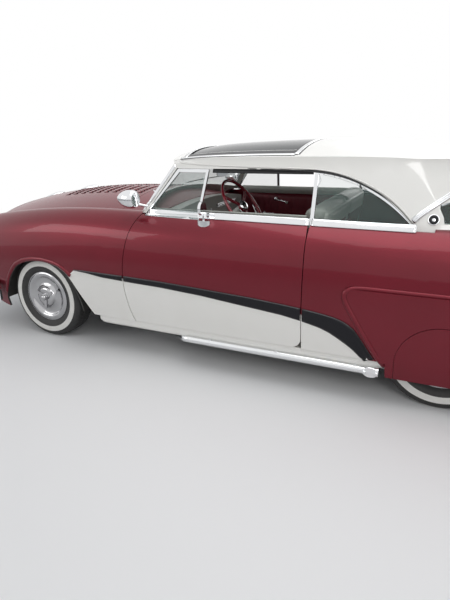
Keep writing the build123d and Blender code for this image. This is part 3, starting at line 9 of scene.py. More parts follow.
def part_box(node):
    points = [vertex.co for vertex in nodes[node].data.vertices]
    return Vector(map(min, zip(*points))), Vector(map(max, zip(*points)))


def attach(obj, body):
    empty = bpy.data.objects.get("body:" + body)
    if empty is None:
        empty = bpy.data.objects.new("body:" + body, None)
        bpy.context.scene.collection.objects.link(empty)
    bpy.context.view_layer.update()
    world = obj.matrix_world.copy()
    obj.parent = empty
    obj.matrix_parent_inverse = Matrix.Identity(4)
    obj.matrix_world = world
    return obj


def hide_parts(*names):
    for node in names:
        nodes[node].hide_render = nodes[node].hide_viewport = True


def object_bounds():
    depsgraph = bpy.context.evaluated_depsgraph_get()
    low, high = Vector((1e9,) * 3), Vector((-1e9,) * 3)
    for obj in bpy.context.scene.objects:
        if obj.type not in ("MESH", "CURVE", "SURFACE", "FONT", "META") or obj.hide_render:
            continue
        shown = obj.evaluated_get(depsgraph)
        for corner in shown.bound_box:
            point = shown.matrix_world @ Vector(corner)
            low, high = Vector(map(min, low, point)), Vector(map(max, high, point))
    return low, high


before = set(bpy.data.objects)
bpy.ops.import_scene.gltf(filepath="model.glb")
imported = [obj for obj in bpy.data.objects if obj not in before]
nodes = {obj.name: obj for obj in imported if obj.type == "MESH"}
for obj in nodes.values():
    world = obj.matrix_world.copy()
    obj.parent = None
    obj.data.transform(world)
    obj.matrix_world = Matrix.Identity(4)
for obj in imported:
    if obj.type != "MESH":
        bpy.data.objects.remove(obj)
cad_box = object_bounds()

# Photograph's view: a camera at a standing person's eye, beside the driver's door,
# looking forward and down along the hood. Its place and angles were worked out
# from the wheel, the roof and the shut lines of the car.
CAMERA_PLACE = Vector((3.602, 1.244, 1.589))
CAMERA_YAW = math.radians(25.77)
CAMERA_PITCH = math.radians(19.08)
CAMERA_ROLL = math.radians(-1.355)
PHOTO_HEIGHT = 600
FOCAL_PIXELS = 484.4
SENSOR = 36
FARTHEST = 200

forward = Vector((
    -math.cos(CAMERA_YAW) * math.cos(CAMERA_PITCH),
    -math.sin(CAMERA_YAW) * math.cos(CAMERA_PITCH),
    -math.sin(CAMERA_PITCH),
))
level_right = forward.cross(Vector((0, 0, 1))).normalized()
level_up = level_right.cross(forward)
camera_right = math.cos(CAMERA_ROLL) * level_right + math.sin(CAMERA_ROLL) * level_up
camera_up = math.cos(CAMERA_ROLL) * level_up - math.sin(CAMERA_ROLL) * level_right
camera = bpy.data.objects.new("camera", bpy.data.cameras.new("camera"))
camera.data.sensor_width = SENSOR
camera.data.lens = FOCAL_PIXELS / PHOTO_HEIGHT * SENSOR
camera.data.clip_end = FARTHEST
turn = Matrix((camera_right, camera_up, -forward)).transposed()
camera.matrix_world = Matrix.Translation(CAMERA_PLACE) @ turn.to_4x4()
bpy.context.scene.collection.objects.link(camera)
bpy.context.scene.camera = camera


# Finishes: every surface is a principled shader whose varying inputs are written
# as sums of readings, such as a grain or a place on the car.
class Reading:
    """What a shader node gives. Sums of readings add the nodes that work them out."""

    def __init__(self, finish, socket):
        self.finish = finish
        self.socket = socket

    def worked(self, operation, other):
        return self.finish.node("Math", {"operation": operation}, {0: self, 1: other})

    def __add__(self, other):
        return self.worked("ADD", other)

    def __mul__(self, other):
        return self.worked("MULTIPLY", other)

    __radd__ = __add__
    __rmul__ = __mul__


class Finish:
    """A surface finish: its material slot, one principled shader and what varies it."""

    GRAIN_ROUGHNESS = 0.6
    # sockets of the colour mix node
    MIX_FACTOR = 0
    MIX_FIRST = 6
    MIX_SECOND = 7
    MIX_GIVES = 2

    def __init__(self, name, slot, colour, roughness, **fixed):
        self.slot = slot
        self.material = bpy.data.materials.new(name)
        self.material.use_nodes = True
        self.tree = self.material.node_tree
        self.shader = self.tree.nodes["Principled BSDF"]
        self.shader.inputs["Base Color"].default_value = (*colour, 1)
        self.shader.inputs["Roughness"].default_value = roughness
        for key, value in fixed.items():
            socket = "IOR" if key == "ior" else key.replace("_", " ").title()
            self.shader.inputs[socket].default_value = value

    def node(self, kind, settings=None, links=None, gives=0):
        """Adds a shader node, with readings and plain values at its inputs."""
        made = self.tree.nodes.new("ShaderNode" + kind)
        for name, value in (settings or {}).items():
            setattr(made, name, value)
        for name, value in (links or {}).items():
            if isinstance(value, Reading):
                self.tree.links.new(value.socket, made.inputs[name])
            else:
                made.inputs[name].default_value = value
        return Reading(self, made.outputs[gives])

    def point(self):
        return self.node("TexCoord", gives="Object")

    def waves(self, axis, pitch):
        """A sine wave along one axis of the car, pitch radians a metre."""
        place = self.node("SeparateXYZ", None, {0: self.point()}, gives=axis)
        return self.node("Math", {"operation": "SINE"}, {0: place * pitch})

    def grain(self, scale, detail, stretch=(1, 1, 1)):
        spread = self.node("Mapping", None, {"Vector": self.point(), "Scale": stretch})
        return self.node("TexNoise", None, {
            "Vector": spread, "Scale": scale, "Detail": detail, "Roughness": self.GRAIN_ROUGHNESS,
        })

    def blend(self, factor, first, second):
        mixed = {self.MIX_FACTOR: factor, self.MIX_FIRST: (*first, 1), self.MIX_SECOND: (*second, 1)}
        return self.node("Mix", {"data_type": "RGBA"}, mixed, gives=self.MIX_GIVES)

    def step(self, reading, low, high):
        """Nought below low, one above high, smooth between."""
        ends = {"Value": reading, "From Min": low, "From Max": high}
        return self.node("MapRange", {"interpolation_type": "SMOOTHSTEP"}, ends)

    def drive(self, socket, reading):
        self.tree.links.new(reading.socket, self.shader.inputs[socket])
        return self

    def raised(self, height, distance, strength):
        bump = self.node("Bump", None, {"Height": height, "Distance": distance, "Strength": strength})
        return self.drive("Normal", bump)

    def mottled(self, scale, detail, first, second):
        """The colour goes from first to second in patches."""
        return self.drive("Base Color", self.blend(self.grain(scale, detail), first, second))

    def worn(self, least, spread, scale, detail):
        """The roughness goes from least to least + spread in patches."""
        return self.drive("Roughness", least + spread * self.grain(scale, detail))

    def pebbled(self, scale, detail, distance, strength):
        return self.raised(self.grain(scale, detail), distance, strength)

    def see_through(self, blend, facing, edge_on):
        """The opacity is facing when seen square on, and edge_on more at a grazing angle."""
        grazing = self.node("LayerWeight", None, {"Blend": blend}, gives="Fresnel")
        return self.drive("Alpha", facing + edge_on * grazing)


# Studio: a pale level floor that fades into a white room, a large soft box
# overhead, a key from behind the camera and two low fills. None of it is the car.
FLOOR_HALF = 60.0
FADE_START = 3.2
FADE_END = 7.5

bm = bmesh.new()
bmesh.ops.create_grid(bm, x_segments=1, y_segments=1, size=FLOOR_HALF)
floor_mesh = bpy.data.meshes.new("studio_floor")
bm.to_mesh(floor_mesh)
bm.free()
floor = bpy.data.objects.new("studio_floor", floor_mesh)
bpy.context.scene.collection.objects.link(floor)
floor_paint = Finish("studio_floor", None, (0.80, 0.80, 0.80), 0.9)
away = floor_paint.node("VectorMath", {"operation": "LENGTH"}, {0: floor_paint.point()}, gives=1)
far = floor_paint.step(away, FADE_START, FADE_END)
ray = floor_paint.node("LightPath", gives="Is Camera Ray")
floor_glow = floor_paint.node("Emission", None, {"Color": (1, 1, 1, 1), "Strength": 1.0})
painted = Reading(floor_paint, floor_paint.shader.outputs[0])
floor_blend = floor_paint.node("MixShader", None, {0: far * ray, 1: painted, 2: floor_glow})
surface_socket = floor_paint.tree.nodes["Material Output"].inputs["Surface"]
floor_paint.tree.links.new(floor_blend.socket, surface_socket)
floor_mesh.materials.append(floor_paint.material)

ROOM_COLOUR = (0.62, 0.64, 0.67, 1)
ROOM_STRENGTH = 0.55
WHITE_FOR = ("Is Camera Ray", "Is Glossy Ray", "Is Transmission Ray")
world = bpy.data.worlds.new("studio")
world.use_nodes = True
bpy.context.scene.world = world
sky = world.node_tree
room = sky.nodes["Background"]
room.inputs["Color"].default_value = ROOM_COLOUR
room.inputs["Strength"].default_value = ROOM_STRENGTH
white_room = sky.nodes.new("ShaderNodeBackground")
white_room.inputs["Color"].default_value = (1, 1, 1, 1)
white_room.inputs["Strength"].default_value = 1.0
ray_kind = sky.nodes.new("ShaderNodeLightPath")
in_white = ray_kind.outputs[WHITE_FOR[0]]
for kind in WHITE_FOR[1:]:
    either = sky.nodes.new("ShaderNodeMath")
    either.operation = "MAXIMUM"
    sky.links.new(in_white, either.inputs[0])
    sky.links.new(ray_kind.outputs[kind], either.inputs[1])
    in_white = either.outputs[0]
choose = sky.nodes.new("ShaderNodeMixShader")
for number, socket in enumerate((in_white, room.outputs[0], white_room.outputs[0])):
    sky.links.new(socket, choose.inputs[number])
sky.links.new(choose.outputs[0], sky.nodes["World Output"].inputs["Surface"])

LAMPS = (
    # name, place, aim, width, length, watts
    ("soft_box", (0.4, 0.2, 4.6), (0.0, 0.0, 0.8), 3.4, 6.5, 125),
    ("key", (5.2, 3.4, 3.6), (0.5, 0.0, 0.6), 2.4, 2.4, 75),
    ("fill", (4.6, -5.2, 2.6), (0.5, -1.0, 0.6), 3.0, 2.0, 50),
    ("far_fill", (-5.4, 1.0, 3.0), (-0.5, 0.0, 0.8), 3.5, 2.5, 60),
)
for name, place, aim, width, length, watts in LAMPS:
    lamp = bpy.data.lights.new(name, "AREA")
    lamp.shape = "RECTANGLE"
    lamp.size = width
    lamp.size_y = length
    lamp.energy = watts
    holder = bpy.data.objects.new(name, lamp)
    holder.location = place
    holder.rotation_euler = (Vector(aim) - Vector(place)).to_track_quat("-Z", "Y").to_euler()
    bpy.context.scene.collection.objects.link(holder)
bpy.context.scene.view_settings.view_transform = "Standard"


# Painted body: pressed steel panels, sprayed in a candy burgundy over silver and,
# below the sweep stripe, in ivory white, under clear lacquer. Each panel keeps
# the shape of its node, with its loose triangles merged so that light runs on.
MERGE = 1e-5
CREASE = math.radians(28)
LEFT = Vector((1, 0, 0))
REAR = Vector((0, 1, 0))
UP = Vector((0, 0, 1))

burgundy = Finish(
    "burgundy_paint", "burgundy_paint", (0.150, 0.004, 0.014), 0.36,
    metallic=0.65, coat_weight=0.4, coat_roughness=0.04,
)
flake = burgundy.grain(900, 2.0) * 0.5 + burgundy.grain(2.5, 2.0) * 0.4
burgundy.drive("Base Color", burgundy.blend(flake, (0.105, 0.002, 0.008), (0.22, 0.006, 0.022)))
burgundy.worn(0.32, 0.10, 60, 4.0)
ivory = Finish("white_paint", "white_paint", (0.78, 0.77, 0.73), 0.3, coat_weight=1.0, coat_roughness=0.05)
ivory.mottled(3, 3.0, (0.74, 0.73, 0.69), (0.80, 0.79, 0.76)).worn(0.24, 0.12, 45, 4.0)


def show(name, mesh, body, *finishes, stands_for=(), slot=None):
    """Puts a finished mesh on the car, on the body that carries it."""
    mesh.name = name
    piece = bpy.data.objects.new(name, mesh)
    for finish in finishes:
        mesh.materials.append(finish.material)
    bpy.context.scene.collection.objects.link(piece)
    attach(piece, body)
    if stands_for:
        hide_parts(*stands_for)
    slot or finishes[0].slot
    return piece


def joined(mesh, outward=False):
    """Merges a mesh's doubles and shades it smooth, all in its first finish."""
    mesh.materials.clear()
    bm = bmesh.new()
    bm.from_mesh(mesh)
    bmesh.ops.remove_doubles(bm, verts=bm.verts, dist=MERGE)
    if outward:
        bmesh.ops.recalc_face_normals(bm, faces=bm.faces)
    for face in bm.faces:
        face.smooth = True
        face.material_index = 0
    bm.to_mesh(mesh)
    bm.free()
    return mesh


def merged_copy(node, crease=CREASE):
    """A node's own shape, joined up and smooth up to a crease."""
    mesh = nodes[node].data.copy()
    normals = mesh.attributes.get("custom_normal")
    if normals:
        mesh.attributes.remove(normals)
    joined(mesh).set_sharp_from_angle(angle=crease)
    return mesh


def paint(mesh, test, number=1):
    """Gives the faces that pass the test another of the piece's finishes."""
    for face in mesh.polygons:
        if test(face):
            face.material_index = number


def show_node(node, name, body, *finishes, crease=CREASE, second_where=None, slot=None):
    """Shows a node's own shape. The faces that pass the test get the second finish."""
    mesh = merged_copy(node, crease)
    if second_where:
        paint(mesh, second_where)
    show(name, mesh, body, *finishes, stands_for=(node,), slot=slot)


def surface_of(*names):
    """The nodes' outer shape, for finding where a piece lies on them."""
    points = []
    faces = []
    for name in names:
        mesh = nodes[name].data
        first = len(points)
        points += [vertex.co.copy() for vertex in mesh.vertices]
        faces += [[first + index for index in face.vertices] for face in mesh.polygons]
    return BVHTree.FromPolygons(points, faces)


# a line that falls into a shut line is tried again this much along the car
SLIPS = (0.0, 0.004, -0.004, 0.008, -0.008, 0.014, -0.014)


def struck(tree, start, direction):
    """Where a line from start first meets the surface, and which way that faces."""
    for slip in SLIPS:
        place, outward, _, _ = tree.ray_cast(Vector(start) + REAR * slip, direction)
        if place is not None:
            place.y -= slip
            return place, outward if outward.dot(direction) < 0 else -outward
    raise ValueError(f"nothing is met from {start}")


side_surface = surface_of(
    "front_fender_left", "door_left", "quarter_panel_left", "fender_skirts", "rocker_panels", "exhaust"
)
roof_surface = surface_of("roof")
top_surface = surface_of("hood", "cowl", "rear_deck", "trunk_lid", "roof", "roof_glass")
BESIDE_X = 2.0
ABOVE_Z = 3.0
BEHIND_Y = 3.0


def on_side(y, z, tree=side_surface):
    return struck(tree, (BESIDE_X, y, z), -LEFT)


def on_top(x, y, tree=top_surface):
    return struck(tree, (x, y, ABOVE_Z), -UP)


def on_end(x, z, tree, start_y=BEHIND_Y):
    """Where a level line along the car, from start_y to its middle, meets the surface."""
    return struck(tree, (x, start_y, z), -REAR if start_y > 0 else REAR)


def mix(start, end, share):
    return start + (end - start) * share


def shares(count):
    """Even shares from nought to one."""
    return [step / count for step in range(count + 1)]


# Two-tone split: the sweep stripe covers the join between burgundy and white.
# Each row is a place along it: its upper edge, then its lower edge.
SWEEP = (
    # top y, top z, low y, low z
    (-1.312, 0.638, -1.312, 0.633),
    (-1.195, 0.640, -1.195, 0.624),
    (-1.050, 0.639, -1.050, 0.606),
    (-0.812, 0.637, -0.812, 0.596),
    (-0.540, 0.631, -0.540, 0.587),
    (-0.229, 0.617, -0.229, 0.567),
    (0.129, 0.599, 0.129, 0.531),
    (0.329, 0.583, 0.330, 0.511),
    (0.467, 0.570, 0.467, 0.487),
    (0.580, 0.556, 0.574, 0.462),
    (0.660, 0.542, 0.636, 0.438),
    (0.722, 0.522, 0.682, 0.412),
    (0.775, 0.490, 0.730, 0.382),
    (0.822, 0.430, 0.775, 0.350),
    (0.862, 0.366, 0.812, 0.316),
    (0.905, 0.306, 0.846, 0.278),
)
JOIN = [(-1.435, 0.535), (-1.312, 0.635)]
JOIN += [((a + c) / 2, (b + d) / 2) for a, b, c, d in SWEEP[1:]]
JOIN += [(0.905, 0.250), (0.935, 0.190)]
CUT_REACH = 0.002
PANELS = (
    # node, body, finishes
    ("hood", "hood", (burgundy,)),
    ("cowl", "body", (burgundy,)),
    ("rear_deck", "body", (burgundy,)),
    ("trunk_lid", "trunk_lid", (burgundy,)),
    ("fender_skirts", "body", (burgundy,)),
    ("rocker_panels", "body", (ivory,)),
    ("front_fender_left", "body", (burgundy, ivory)),
    ("front_fender_right", "body", (burgundy, ivory)),
    ("door_left", "door_left", (burgundy, ivory)),
    ("door_right", "door_right", (burgundy, ivory)),
    ("quarter_panel_left", "body", (burgundy, ivory)),
    ("quarter_panel_right", "body", (burgundy, ivory)),
)


def below_join(y, z):
    """Whether a place on the side lies in the white part."""
    for (y0, z0), (y1, z1) in zip(JOIN, JOIN[1:]):
        if y0 <= y <= y1:
            return z < z0 + (z1 - z0) * (y - y0) / (y1 - y0)
    return False


def paint_two_tone(mesh):
    """Cuts the panel along the join and gives what lies below it the second paint."""
    bm = bmesh.new()
    bm.from_mesh(mesh)
    for (y0, z0), (y1, z1) in zip(JOIN, JOIN[1:]):
        across = Vector((0, z0 - z1, y1 - y0)).normalized()
        near = [
            face for face in bm.faces
            if min(v.co.y for v in face.verts) < y1 + CUT_REACH
            and max(v.co.y for v in face.verts) > y0 - CUT_REACH
        ]
        edges = {edge for face in near for edge in face.edges}
        corners = {corner for face in near for corner in face.verts}
        bmesh.ops.bisect_plane(
            bm, geom=near + list(edges) + list(corners), plane_co=Vector((0, y0, z0)), plane_no=across
        )
    for face in bm.faces:
        spot = face.calc_center_median()
        if below_join(spot.y, spot.z):
            face.material_index = 1
    bm.to_mesh(mesh)
    bm.free()


for node, body, finishes in PANELS:
    mesh = merged_copy(node)
    if len(finishes) > 1:
        paint_two_tone(mesh)
        mesh.set_sharp_from_angle(angle=CREASE)
    show(node + "_skin", mesh, body, *finishes, stands_for=(node,), slot="burgundy_paint")

# Roof: a pressed shell in the same ivory, lined inside with woven headcloth that
# is stretched over bows and tucked in at the windows.
CABIN_CENTRE = Vector((0, 0.3, 1.15))
LINING_LOW_Z = 1.08
LINING_FACES = 0.25
ROOF_CREASE = math.radians(40)
headcloth = Finish("headcloth", None, (0.56, 0.57, 0.53), 0.9)
headcloth.raised(headcloth.grain(700, 2.0, stretch=(1, 0.3, 1)), 0.001, 0.5)
headcloth.mottled(8, 2.0, (0.50, 0.51, 0.47), (0.60, 0.61, 0.57))


def is_lining(face):
    inward = CABIN_CENTRE - face.center
    return inward.dot(face.normal) > LINING_FACES * inward.length and face.center.z > LINING_LOW_Z


show_node("roof", "roof_skin", "body", ivory, headcloth, crease=ROOF_CREASE, second_where=is_lining)


# Sweep stripe: a hollow steel moulding in black enamel over each panel, crowned
# across, with a raised bead along its upper edge whose lighter grey is a painted highlight of that lit edge.
# It is clipped on and breaks at the shut lines.
def shaped_grid(columns, rows, point):
    """A sheet whose corner (u, v), each from nought to one, stands at point(u, v)."""
    bm = bmesh.new()
    bmesh.ops.create_grid(bm, x_segments=columns, y_segments=rows, size=0.5)
    for vertex in bm.verts:
        vertex.co = point(vertex.co.x + 0.5, vertex.co.y + 0.5)
    for face in bm.faces:
        face.smooth = True
    return bm


def made_mesh(bm, outward=None, thickness=0.0, crease=None):
    """Ends a bmesh: faces turned to the side named, and walls given to a sheet."""
    bmesh.ops.remove_doubles(bm, verts=bm.verts, dist=MERGE)
    bm.normal_update()
    if outward is None:
        bmesh.ops.recalc_face_normals(bm, faces=bm.faces)
    elif sum(face.normal.dot(outward) * face.calc_area() for face in bm.faces) < 0:
        bmesh.ops.reverse_faces(bm, faces=bm.faces)
    if thickness:
        bmesh.ops.solidify(bm, geom=bm.faces, thickness=thickness)
    mesh = bpy.data.meshes.new("made")
    bm.to_mesh(mesh)
    bm.free()
    if crease:
        mesh.set_sharp_from_angle(angle=crease)
    return mesh


def other_side(mesh):
    """The same piece for the car's other side."""
    twin = mesh.copy()
    twin.materials.clear()
    bm = bmesh.new()
    bm.from_mesh(twin)
    bmesh.ops.scale(bm, verts=bm.verts, vec=(-1, 1, 1))
    bmesh.ops.reverse_faces(bm, faces=bm.faces)
    bm.to_mesh(twin)
    bm.free()
    return twin


def show_both(name, mesh, body, finish, slot=None):
    """Shows the car's left piece and its twin, each on its own door if it rides one."""
    for side, shape in (("left", mesh), ("right", other_side(mesh))):
        show(f"{name}_{side}", shape, f"door_{side}" if body == "door" else body, finish, slot=slot)


def crown(share, power):
    """How high a rounded strip stands at a share of its width: one at its middle."""
    return 1 - abs(2 * share - 1) ** power


black_enamel = Finish("black_enamel", "black_steel", (0.010, 0.010, 0.013), 0.28, ior=1.3)
black_enamel.worn(0.22, 0.18, 30, 4.0)
# the bead's grey, lighter than the stripe's black, is a painted highlight along the moulding's upper edge
bead_painted_highlight = Finish(
    "bead_painted_highlight", "bright_trim", (0.060, 0.060, 0.064), 0.3, metallic=0.5, coat_weight=0.5, coat_roughness=0.1
)
bead_painted_highlight.worn(0.24, 0.16, 40, 4.0)
STRIPE_LIFT = 0.0012
STRIPE_STANDS = 0.007
STRIPE_WALL = 0.001
STRIPE_ROWS = 8
STRIPE_COLUMN = 0.03
BEAD_LIFT = 0.002
BEAD_STANDS = 0.008
BEAD_Z = (-0.006, 0.008)
STRIPE_PARTS = (
    # name, body, from, to
    ("stripe_fender", "body", -1.310, -0.8605),
    ("stripe_door", "door", -0.8475, 0.4570),
    ("stripe_quarter", "body", 0.4685, 0.9050),
)


def sweep_at(y):
    """The stripe's two edges, as (y, z) pairs, where its upper edge is at y."""
    y = min(max(y, SWEEP[0][0]), SWEEP[-1][0])
    for row, after in zip(SWEEP, SWEEP[1:]):
        if y <= after[0]:
            share = (y - row[0]) / (after[0] - row[0])
            mixed = [mix(a, b, share) for a, b in zip(row, after)]
            return mixed[:2], mixed[2:]


def stripe_place(y, v):
    top, low = sweep_at(y)
    place, _ = on_side(mix(low[0], top[0], v), mix(low[1], top[1], v))
    return place + LEFT * (STRIPE_LIFT + STRIPE_STANDS * crown(v, 6))


def bead_place(y, v):
    top, _ = sweep_at(y)
    place, _ = on_side(top[0], top[1] + BEAD_Z[0] + BEAD_Z[1] * v)
    return place + LEFT * (BEAD_LIFT + BEAD_STANDS * crown(v, 4))


for name, body, start, end in STRIPE_PARTS:
    columns = max(8, int((end - start) / STRIPE_COLUMN))
    for part, place_at, finish in (("", stripe_place, black_enamel), ("_bead", bead_place, bead_painted_highlight)):
        bm = shaped_grid(columns, STRIPE_ROWS, lambda u, v: place_at(mix(start, end, u), v))
        show_both(name + part, made_mesh(bm, LEFT, STRIPE_WALL), body, finish, "bright_trim")

# Belt moulding: a stainless strip on edge along the foot of the side windows,
# in one length on each door and one on each quarter, up to the rear pillar.
bright = Finish("bright_trim", "bright_trim", (0.76, 0.77, 0.78), 0.08, metallic=1.0)
bright.worn(0.05, 0.09, 14, 5.0).mottled(5, 3.0, (0.74, 0.75, 0.77), (0.84, 0.85, 0.86))
BELT_LOW_Z = 1.053
BELT_FALL = 0.008
BELT_FALLS_FROM_Y = 0.1
BELT_FRONT_Y = -0.69
BELT_RISE = 0.044
BELT_LEAN = 0.022
BELT_LIFT = 0.003
BELT_SWELL = 0.004
BELT_PARTS = (
    # name, body, from, to
    ("belt_door", "door", -0.700, 0.4570),
    ("belt_quarter", "body", 0.4690, 1.0560),
)


def belt_place(y, v):
    place, _ = on_side(max(y, BELT_FRONT_Y), BELT_LOW_Z - BELT_FALL * (y - BELT_FALLS_FROM_Y))
    place.y = y
    return place + Vector((BELT_LIFT - BELT_LEAN * v + BELT_SWELL * crown(v, 5), 0, BELT_RISE * v))


for name, body, start, end in BELT_PARTS:
    bm = shaped_grid(40, 8, lambda u, v: belt_place(mix(start, end, u), v))
    show_both(name, made_mesh(bm, LEFT, thickness=0.0015), body, bright)


# Drip rails: rolled steel gutters in ivory over the side windows, down to the foot
# of the rear pillars, with a black rubber seal below each, whose black also stands as painted shade under
# the rail.
def moulding(line, width, height, rows=8, power=4.0, lift=0.0005):
    """A crowned strip along places that each give (point, outward)."""
    last = len(line) - 1

    def point(u, v):
        index = round(u * last)
        place, outward = line[index]
        ahead = line[min(index + 1, last)][0] - line[max(index - 1, 0)][0]
        across = outward.cross(ahead).normalized()
        return place + across * (v - 0.5) * width + outward * (height * crown(v, power) + lift)

    return shaped_grid(last, rows, point)


def strip(line, outward, wall=0.001, **shape):
    """A hollow moulding, open at its ends. Its width and height are given by name."""
    return made_mesh(moulding(line, **shape), outward, wall)


def between(outline, count):
    """Even places along straight runs between (y, z) corners."""
    points = [Vector((0, y, z)) for y, z in outline]
    lengths = [(b - a).length for a, b in zip(points, points[1:])]
    places = []
    for share in shares(count):
        reach = sum(lengths) * share
        for a, b, length in zip(points, points[1:], lengths):
            if reach <= length:
                places.append(a.lerp(b, reach / length))
                break
            reach -= length
        else:
            places.append(points[-1])
    return places


def smoothed(line, passes):
    """Evens out small steps in a line of (point, outward) places."""
    for _ in range(passes):
        line = [line[0]] + [
            ((a[0] + 2 * b[0] + c[0]) / 4, (a[1] + 2 * b[1] + c[1]).normalized())
            for a, b, c in zip(line, line[1:], line[2:])
        ] + [line[-1]]
    return line


DRIP_RAIL = (
    # y, z
    (-0.560, 1.398), (-0.480, 1.401), (-0.280, 1.390), (0.040, 1.381), (0.300, 1.376), (0.484, 1.370),
    (0.590, 1.352), (0.662, 1.333), (0.750, 1.298), (0.835, 1.256), (0.900, 1.215), (0.950, 1.176),
    (1.000, 1.128), (1.036, 1.086),
)
SEAL_DROP = 0.011
seal_black = Finish("window_rubber", "black_steel", (0.015, 0.015, 0.016), 0.6)
seal_black.worn(0.5, 0.3, 200, 3.0)
rail = smoothed([on_side(place.y, place.z, roof_surface) for place in between(DRIP_RAIL, 70)], 6)
under_rail = [(place - UP * SEAL_DROP, outward) for place, outward in rail]
mesh = strip(rail, LEFT, width=0.009, height=0.006)
show_both("drip_rail", mesh, "body", ivory, "bright_trim")
mesh = strip(under_rail, LEFT, width=0.015, height=0.003)
show_both("drip_rail_shade_seal", mesh, "body", seal_black, "bright_trim")

# Header seals: black rubber channels under the drip rails, which close on the door
# glass, made wide so that their black also stands as a painted shadow under the rails. They are pressed into
# the roof's edge.
HEADER_Y = (-0.230, 0.444)
HEADER_Z = 1.3535
HEADER_MEETS_Z = 1.376
HEADER_INSET = 0.012
header = []
for share in shares(30):
    y = mix(*HEADER_Y, share)
    place, outward = on_side(y, HEADER_MEETS_Z, roof_surface)
    header.append((Vector((place.x - HEADER_INSET, y, HEADER_Z)), outward))
mesh = strip(smoothed(header, 4), LEFT, width=0.028, height=0.004, lift=0.0)
show_both("header_shade_seal", mesh, "body", seal_black)

# Windshield pillar covers: stainless strips pressed to the posts' curve and
# screwed on beside the glass.
PILLAR_FOOT = (-0.730, 1.085)
PILLAR_HEAD = (-0.520, 1.388)
pillar = []
for share in shares(24):
    y, z = (mix(foot, head, share) for foot, head in zip(PILLAR_FOOT, PILLAR_HEAD))
    pillar.append(on_side(y, z, roof_surface))
show_both("pillar_cover", strip(smoothed(pillar, 8), LEFT, width=0.026, height=0.006), "body", bright)

# Roof panel frame: stainless mouldings round the tinted panel over black rubber,
# with a black enamelled border at each side. Its front edge is bowed forward.
GLASS_HALF = 0.556
GLASS_FRONT = -0.478
GLASS_BOW = 0.082
GLASS_REAR = 0.318
TRIM_HALF = 0.652
REAR_MARGIN = 0.004
FRONT_MARGIN = 0.002
BORDER_LAP = 0.002
BORDER_LIFT = 0.0012
SEAL_EXTRA = 0.016


def border_place(u, v):
    x = mix(GLASS_HALF - BORDER_LAP, TRIM_HALF, u)
    return on_top(x, mix(GLASS_FRONT, GLASS_REAR, v))[0] + UP * BORDER_LIFT


border = made_mesh(shaped_grid(8, 40, border_place), UP, thickness=0.001)
show_both("panel_border", border, "body", black_enamel)
side_run = [on_top(TRIM_HALF, mix(GLASS_FRONT, GLASS_REAR, share)) for share in shares(30)]
rear_run = []
front_run = []
for share in shares(40):
    x = TRIM_HALF * (1 - 2 * share)
    rear_run.append(on_top(x, GLASS_REAR + REAR_MARGIN))
    front_run.append(on_top(x, GLASS_FRONT - GLASS_BOW * (1 - (x / GLASS_HALF) ** 2) - FRONT_MARGIN))
for name, run, width in (("side", side_run, 0.034), ("rear", rear_run, 0.030), ("front", front_run, 0.022)):
    run = smoothed(run, 4)
    seal = strip(run, UP, wall=0.0006, width=width + SEAL_EXTRA, height=0.002)
    trim = strip(run, UP, width=width, height=0.0045, lift=0.001)
    for part, mesh, finish in (("panel_seal_", seal, seal_black), ("panel_trim_", trim, bright)):
        show(part + name, mesh, "body", finish)
        if name == "side":
            show(part + "far", other_side(mesh), "body", finish)

# Rear window band: a stainless moulding round the window's head and down both rear
# pillars, with three ribs pressed along it.
BAND_SIDE = ((1.030, 1.098), (1.050, 1.124), (1.085, 1.153), (1.130, 1.188), (1.180, 1.226))
BAND_HALF = 0.650
BAND_TOP_Z = 1.440
BAND_FALL = 0.203
RIB_SHIFTS = (-0.011, 0.0, 0.011)
RIB_LIFT = 0.0065
half_band = [on_side(place.y, place.z, roof_surface) for place in between(BAND_SIDE, 16)]
for share in shares(40):
    x = BAND_HALF * (1 - share)
    half_band.append(on_end(x, BAND_TOP_Z - BAND_FALL * (x / BAND_HALF) ** 2, roof_surface))
mirror = Matrix.Diagonal((-1, 1, 1))
far_half = [(mirror @ place, mirror @ outward) for place, outward in half_band[-2::-1]]
band = smoothed(half_band + far_half, 6)
mesh = strip(band, REAR, width=0.034, height=0.006, power=8.0, lift=0.001)
show("rear_band", mesh, "body", bright)
for number, shift in enumerate(RIB_SHIFTS):
    rib = [
        (place + outward.cross(LEFT).normalized() * shift + outward * RIB_LIFT, outward)
        for place, outward in band
    ]
    mesh = strip(rib, REAR, width=0.005, height=0.003, rows=4, power=2.0)
    show(f"rear_band_rib_{number}", mesh, "body", bright)

# Glass: curved laminated panes, faintly green, and a dark tinted roof panel.
# The side panes sit in bright channel frames lined with rubber.
clear_glass = Finish("clear_glass", "clear_glass", (0.30, 0.42, 0.39), 0.02)
clear_glass.see_through(0.35, 0.10, 0.34).worn(0.01, 0.03, 20, 3.0)
tinted_glass = Finish("tinted_glass", "clear_glass", (0.012, 0.016, 0.020), 0.03, ior=1.25)
tinted_glass.see_through(0.4, 0.86, 0.12).worn(0.02, 0.03, 9, 3.0)
PANES = (("windshield", clear_glass), ("rear_window", clear_glass), ("roof_glass", tinted_glass))
for node, finish in PANES:
    show_node(node, node + "_pane", "body", finish)

QUARTER_PANE = (
    # y, z
    (0.4835, 1.056), (0.485, 1.346), (0.560, 1.340), (0.650, 1.318), (0.740, 1.281), (0.815, 1.235),
    (0.885, 1.190), (0.960, 1.130), (1.010, 1.080), (1.022, 1.056),
)
VENT_PANE = ((-0.690, 1.080), (-0.482, 1.343), (-0.272, 1.343), (-0.309, 1.056), (-0.690, 1.056))
FRAMED_PANES = (
    # node, body, outline of the pane
    ("quarter_windows", "body", QUARTER_PANE),
    ("vent_window_left", "door_left", VENT_PANE),
    ("vent_window_right", "door_right", VENT_PANE),
)
EDGE_ALLOWS = 1e-4
PANE_FACES = 0.7


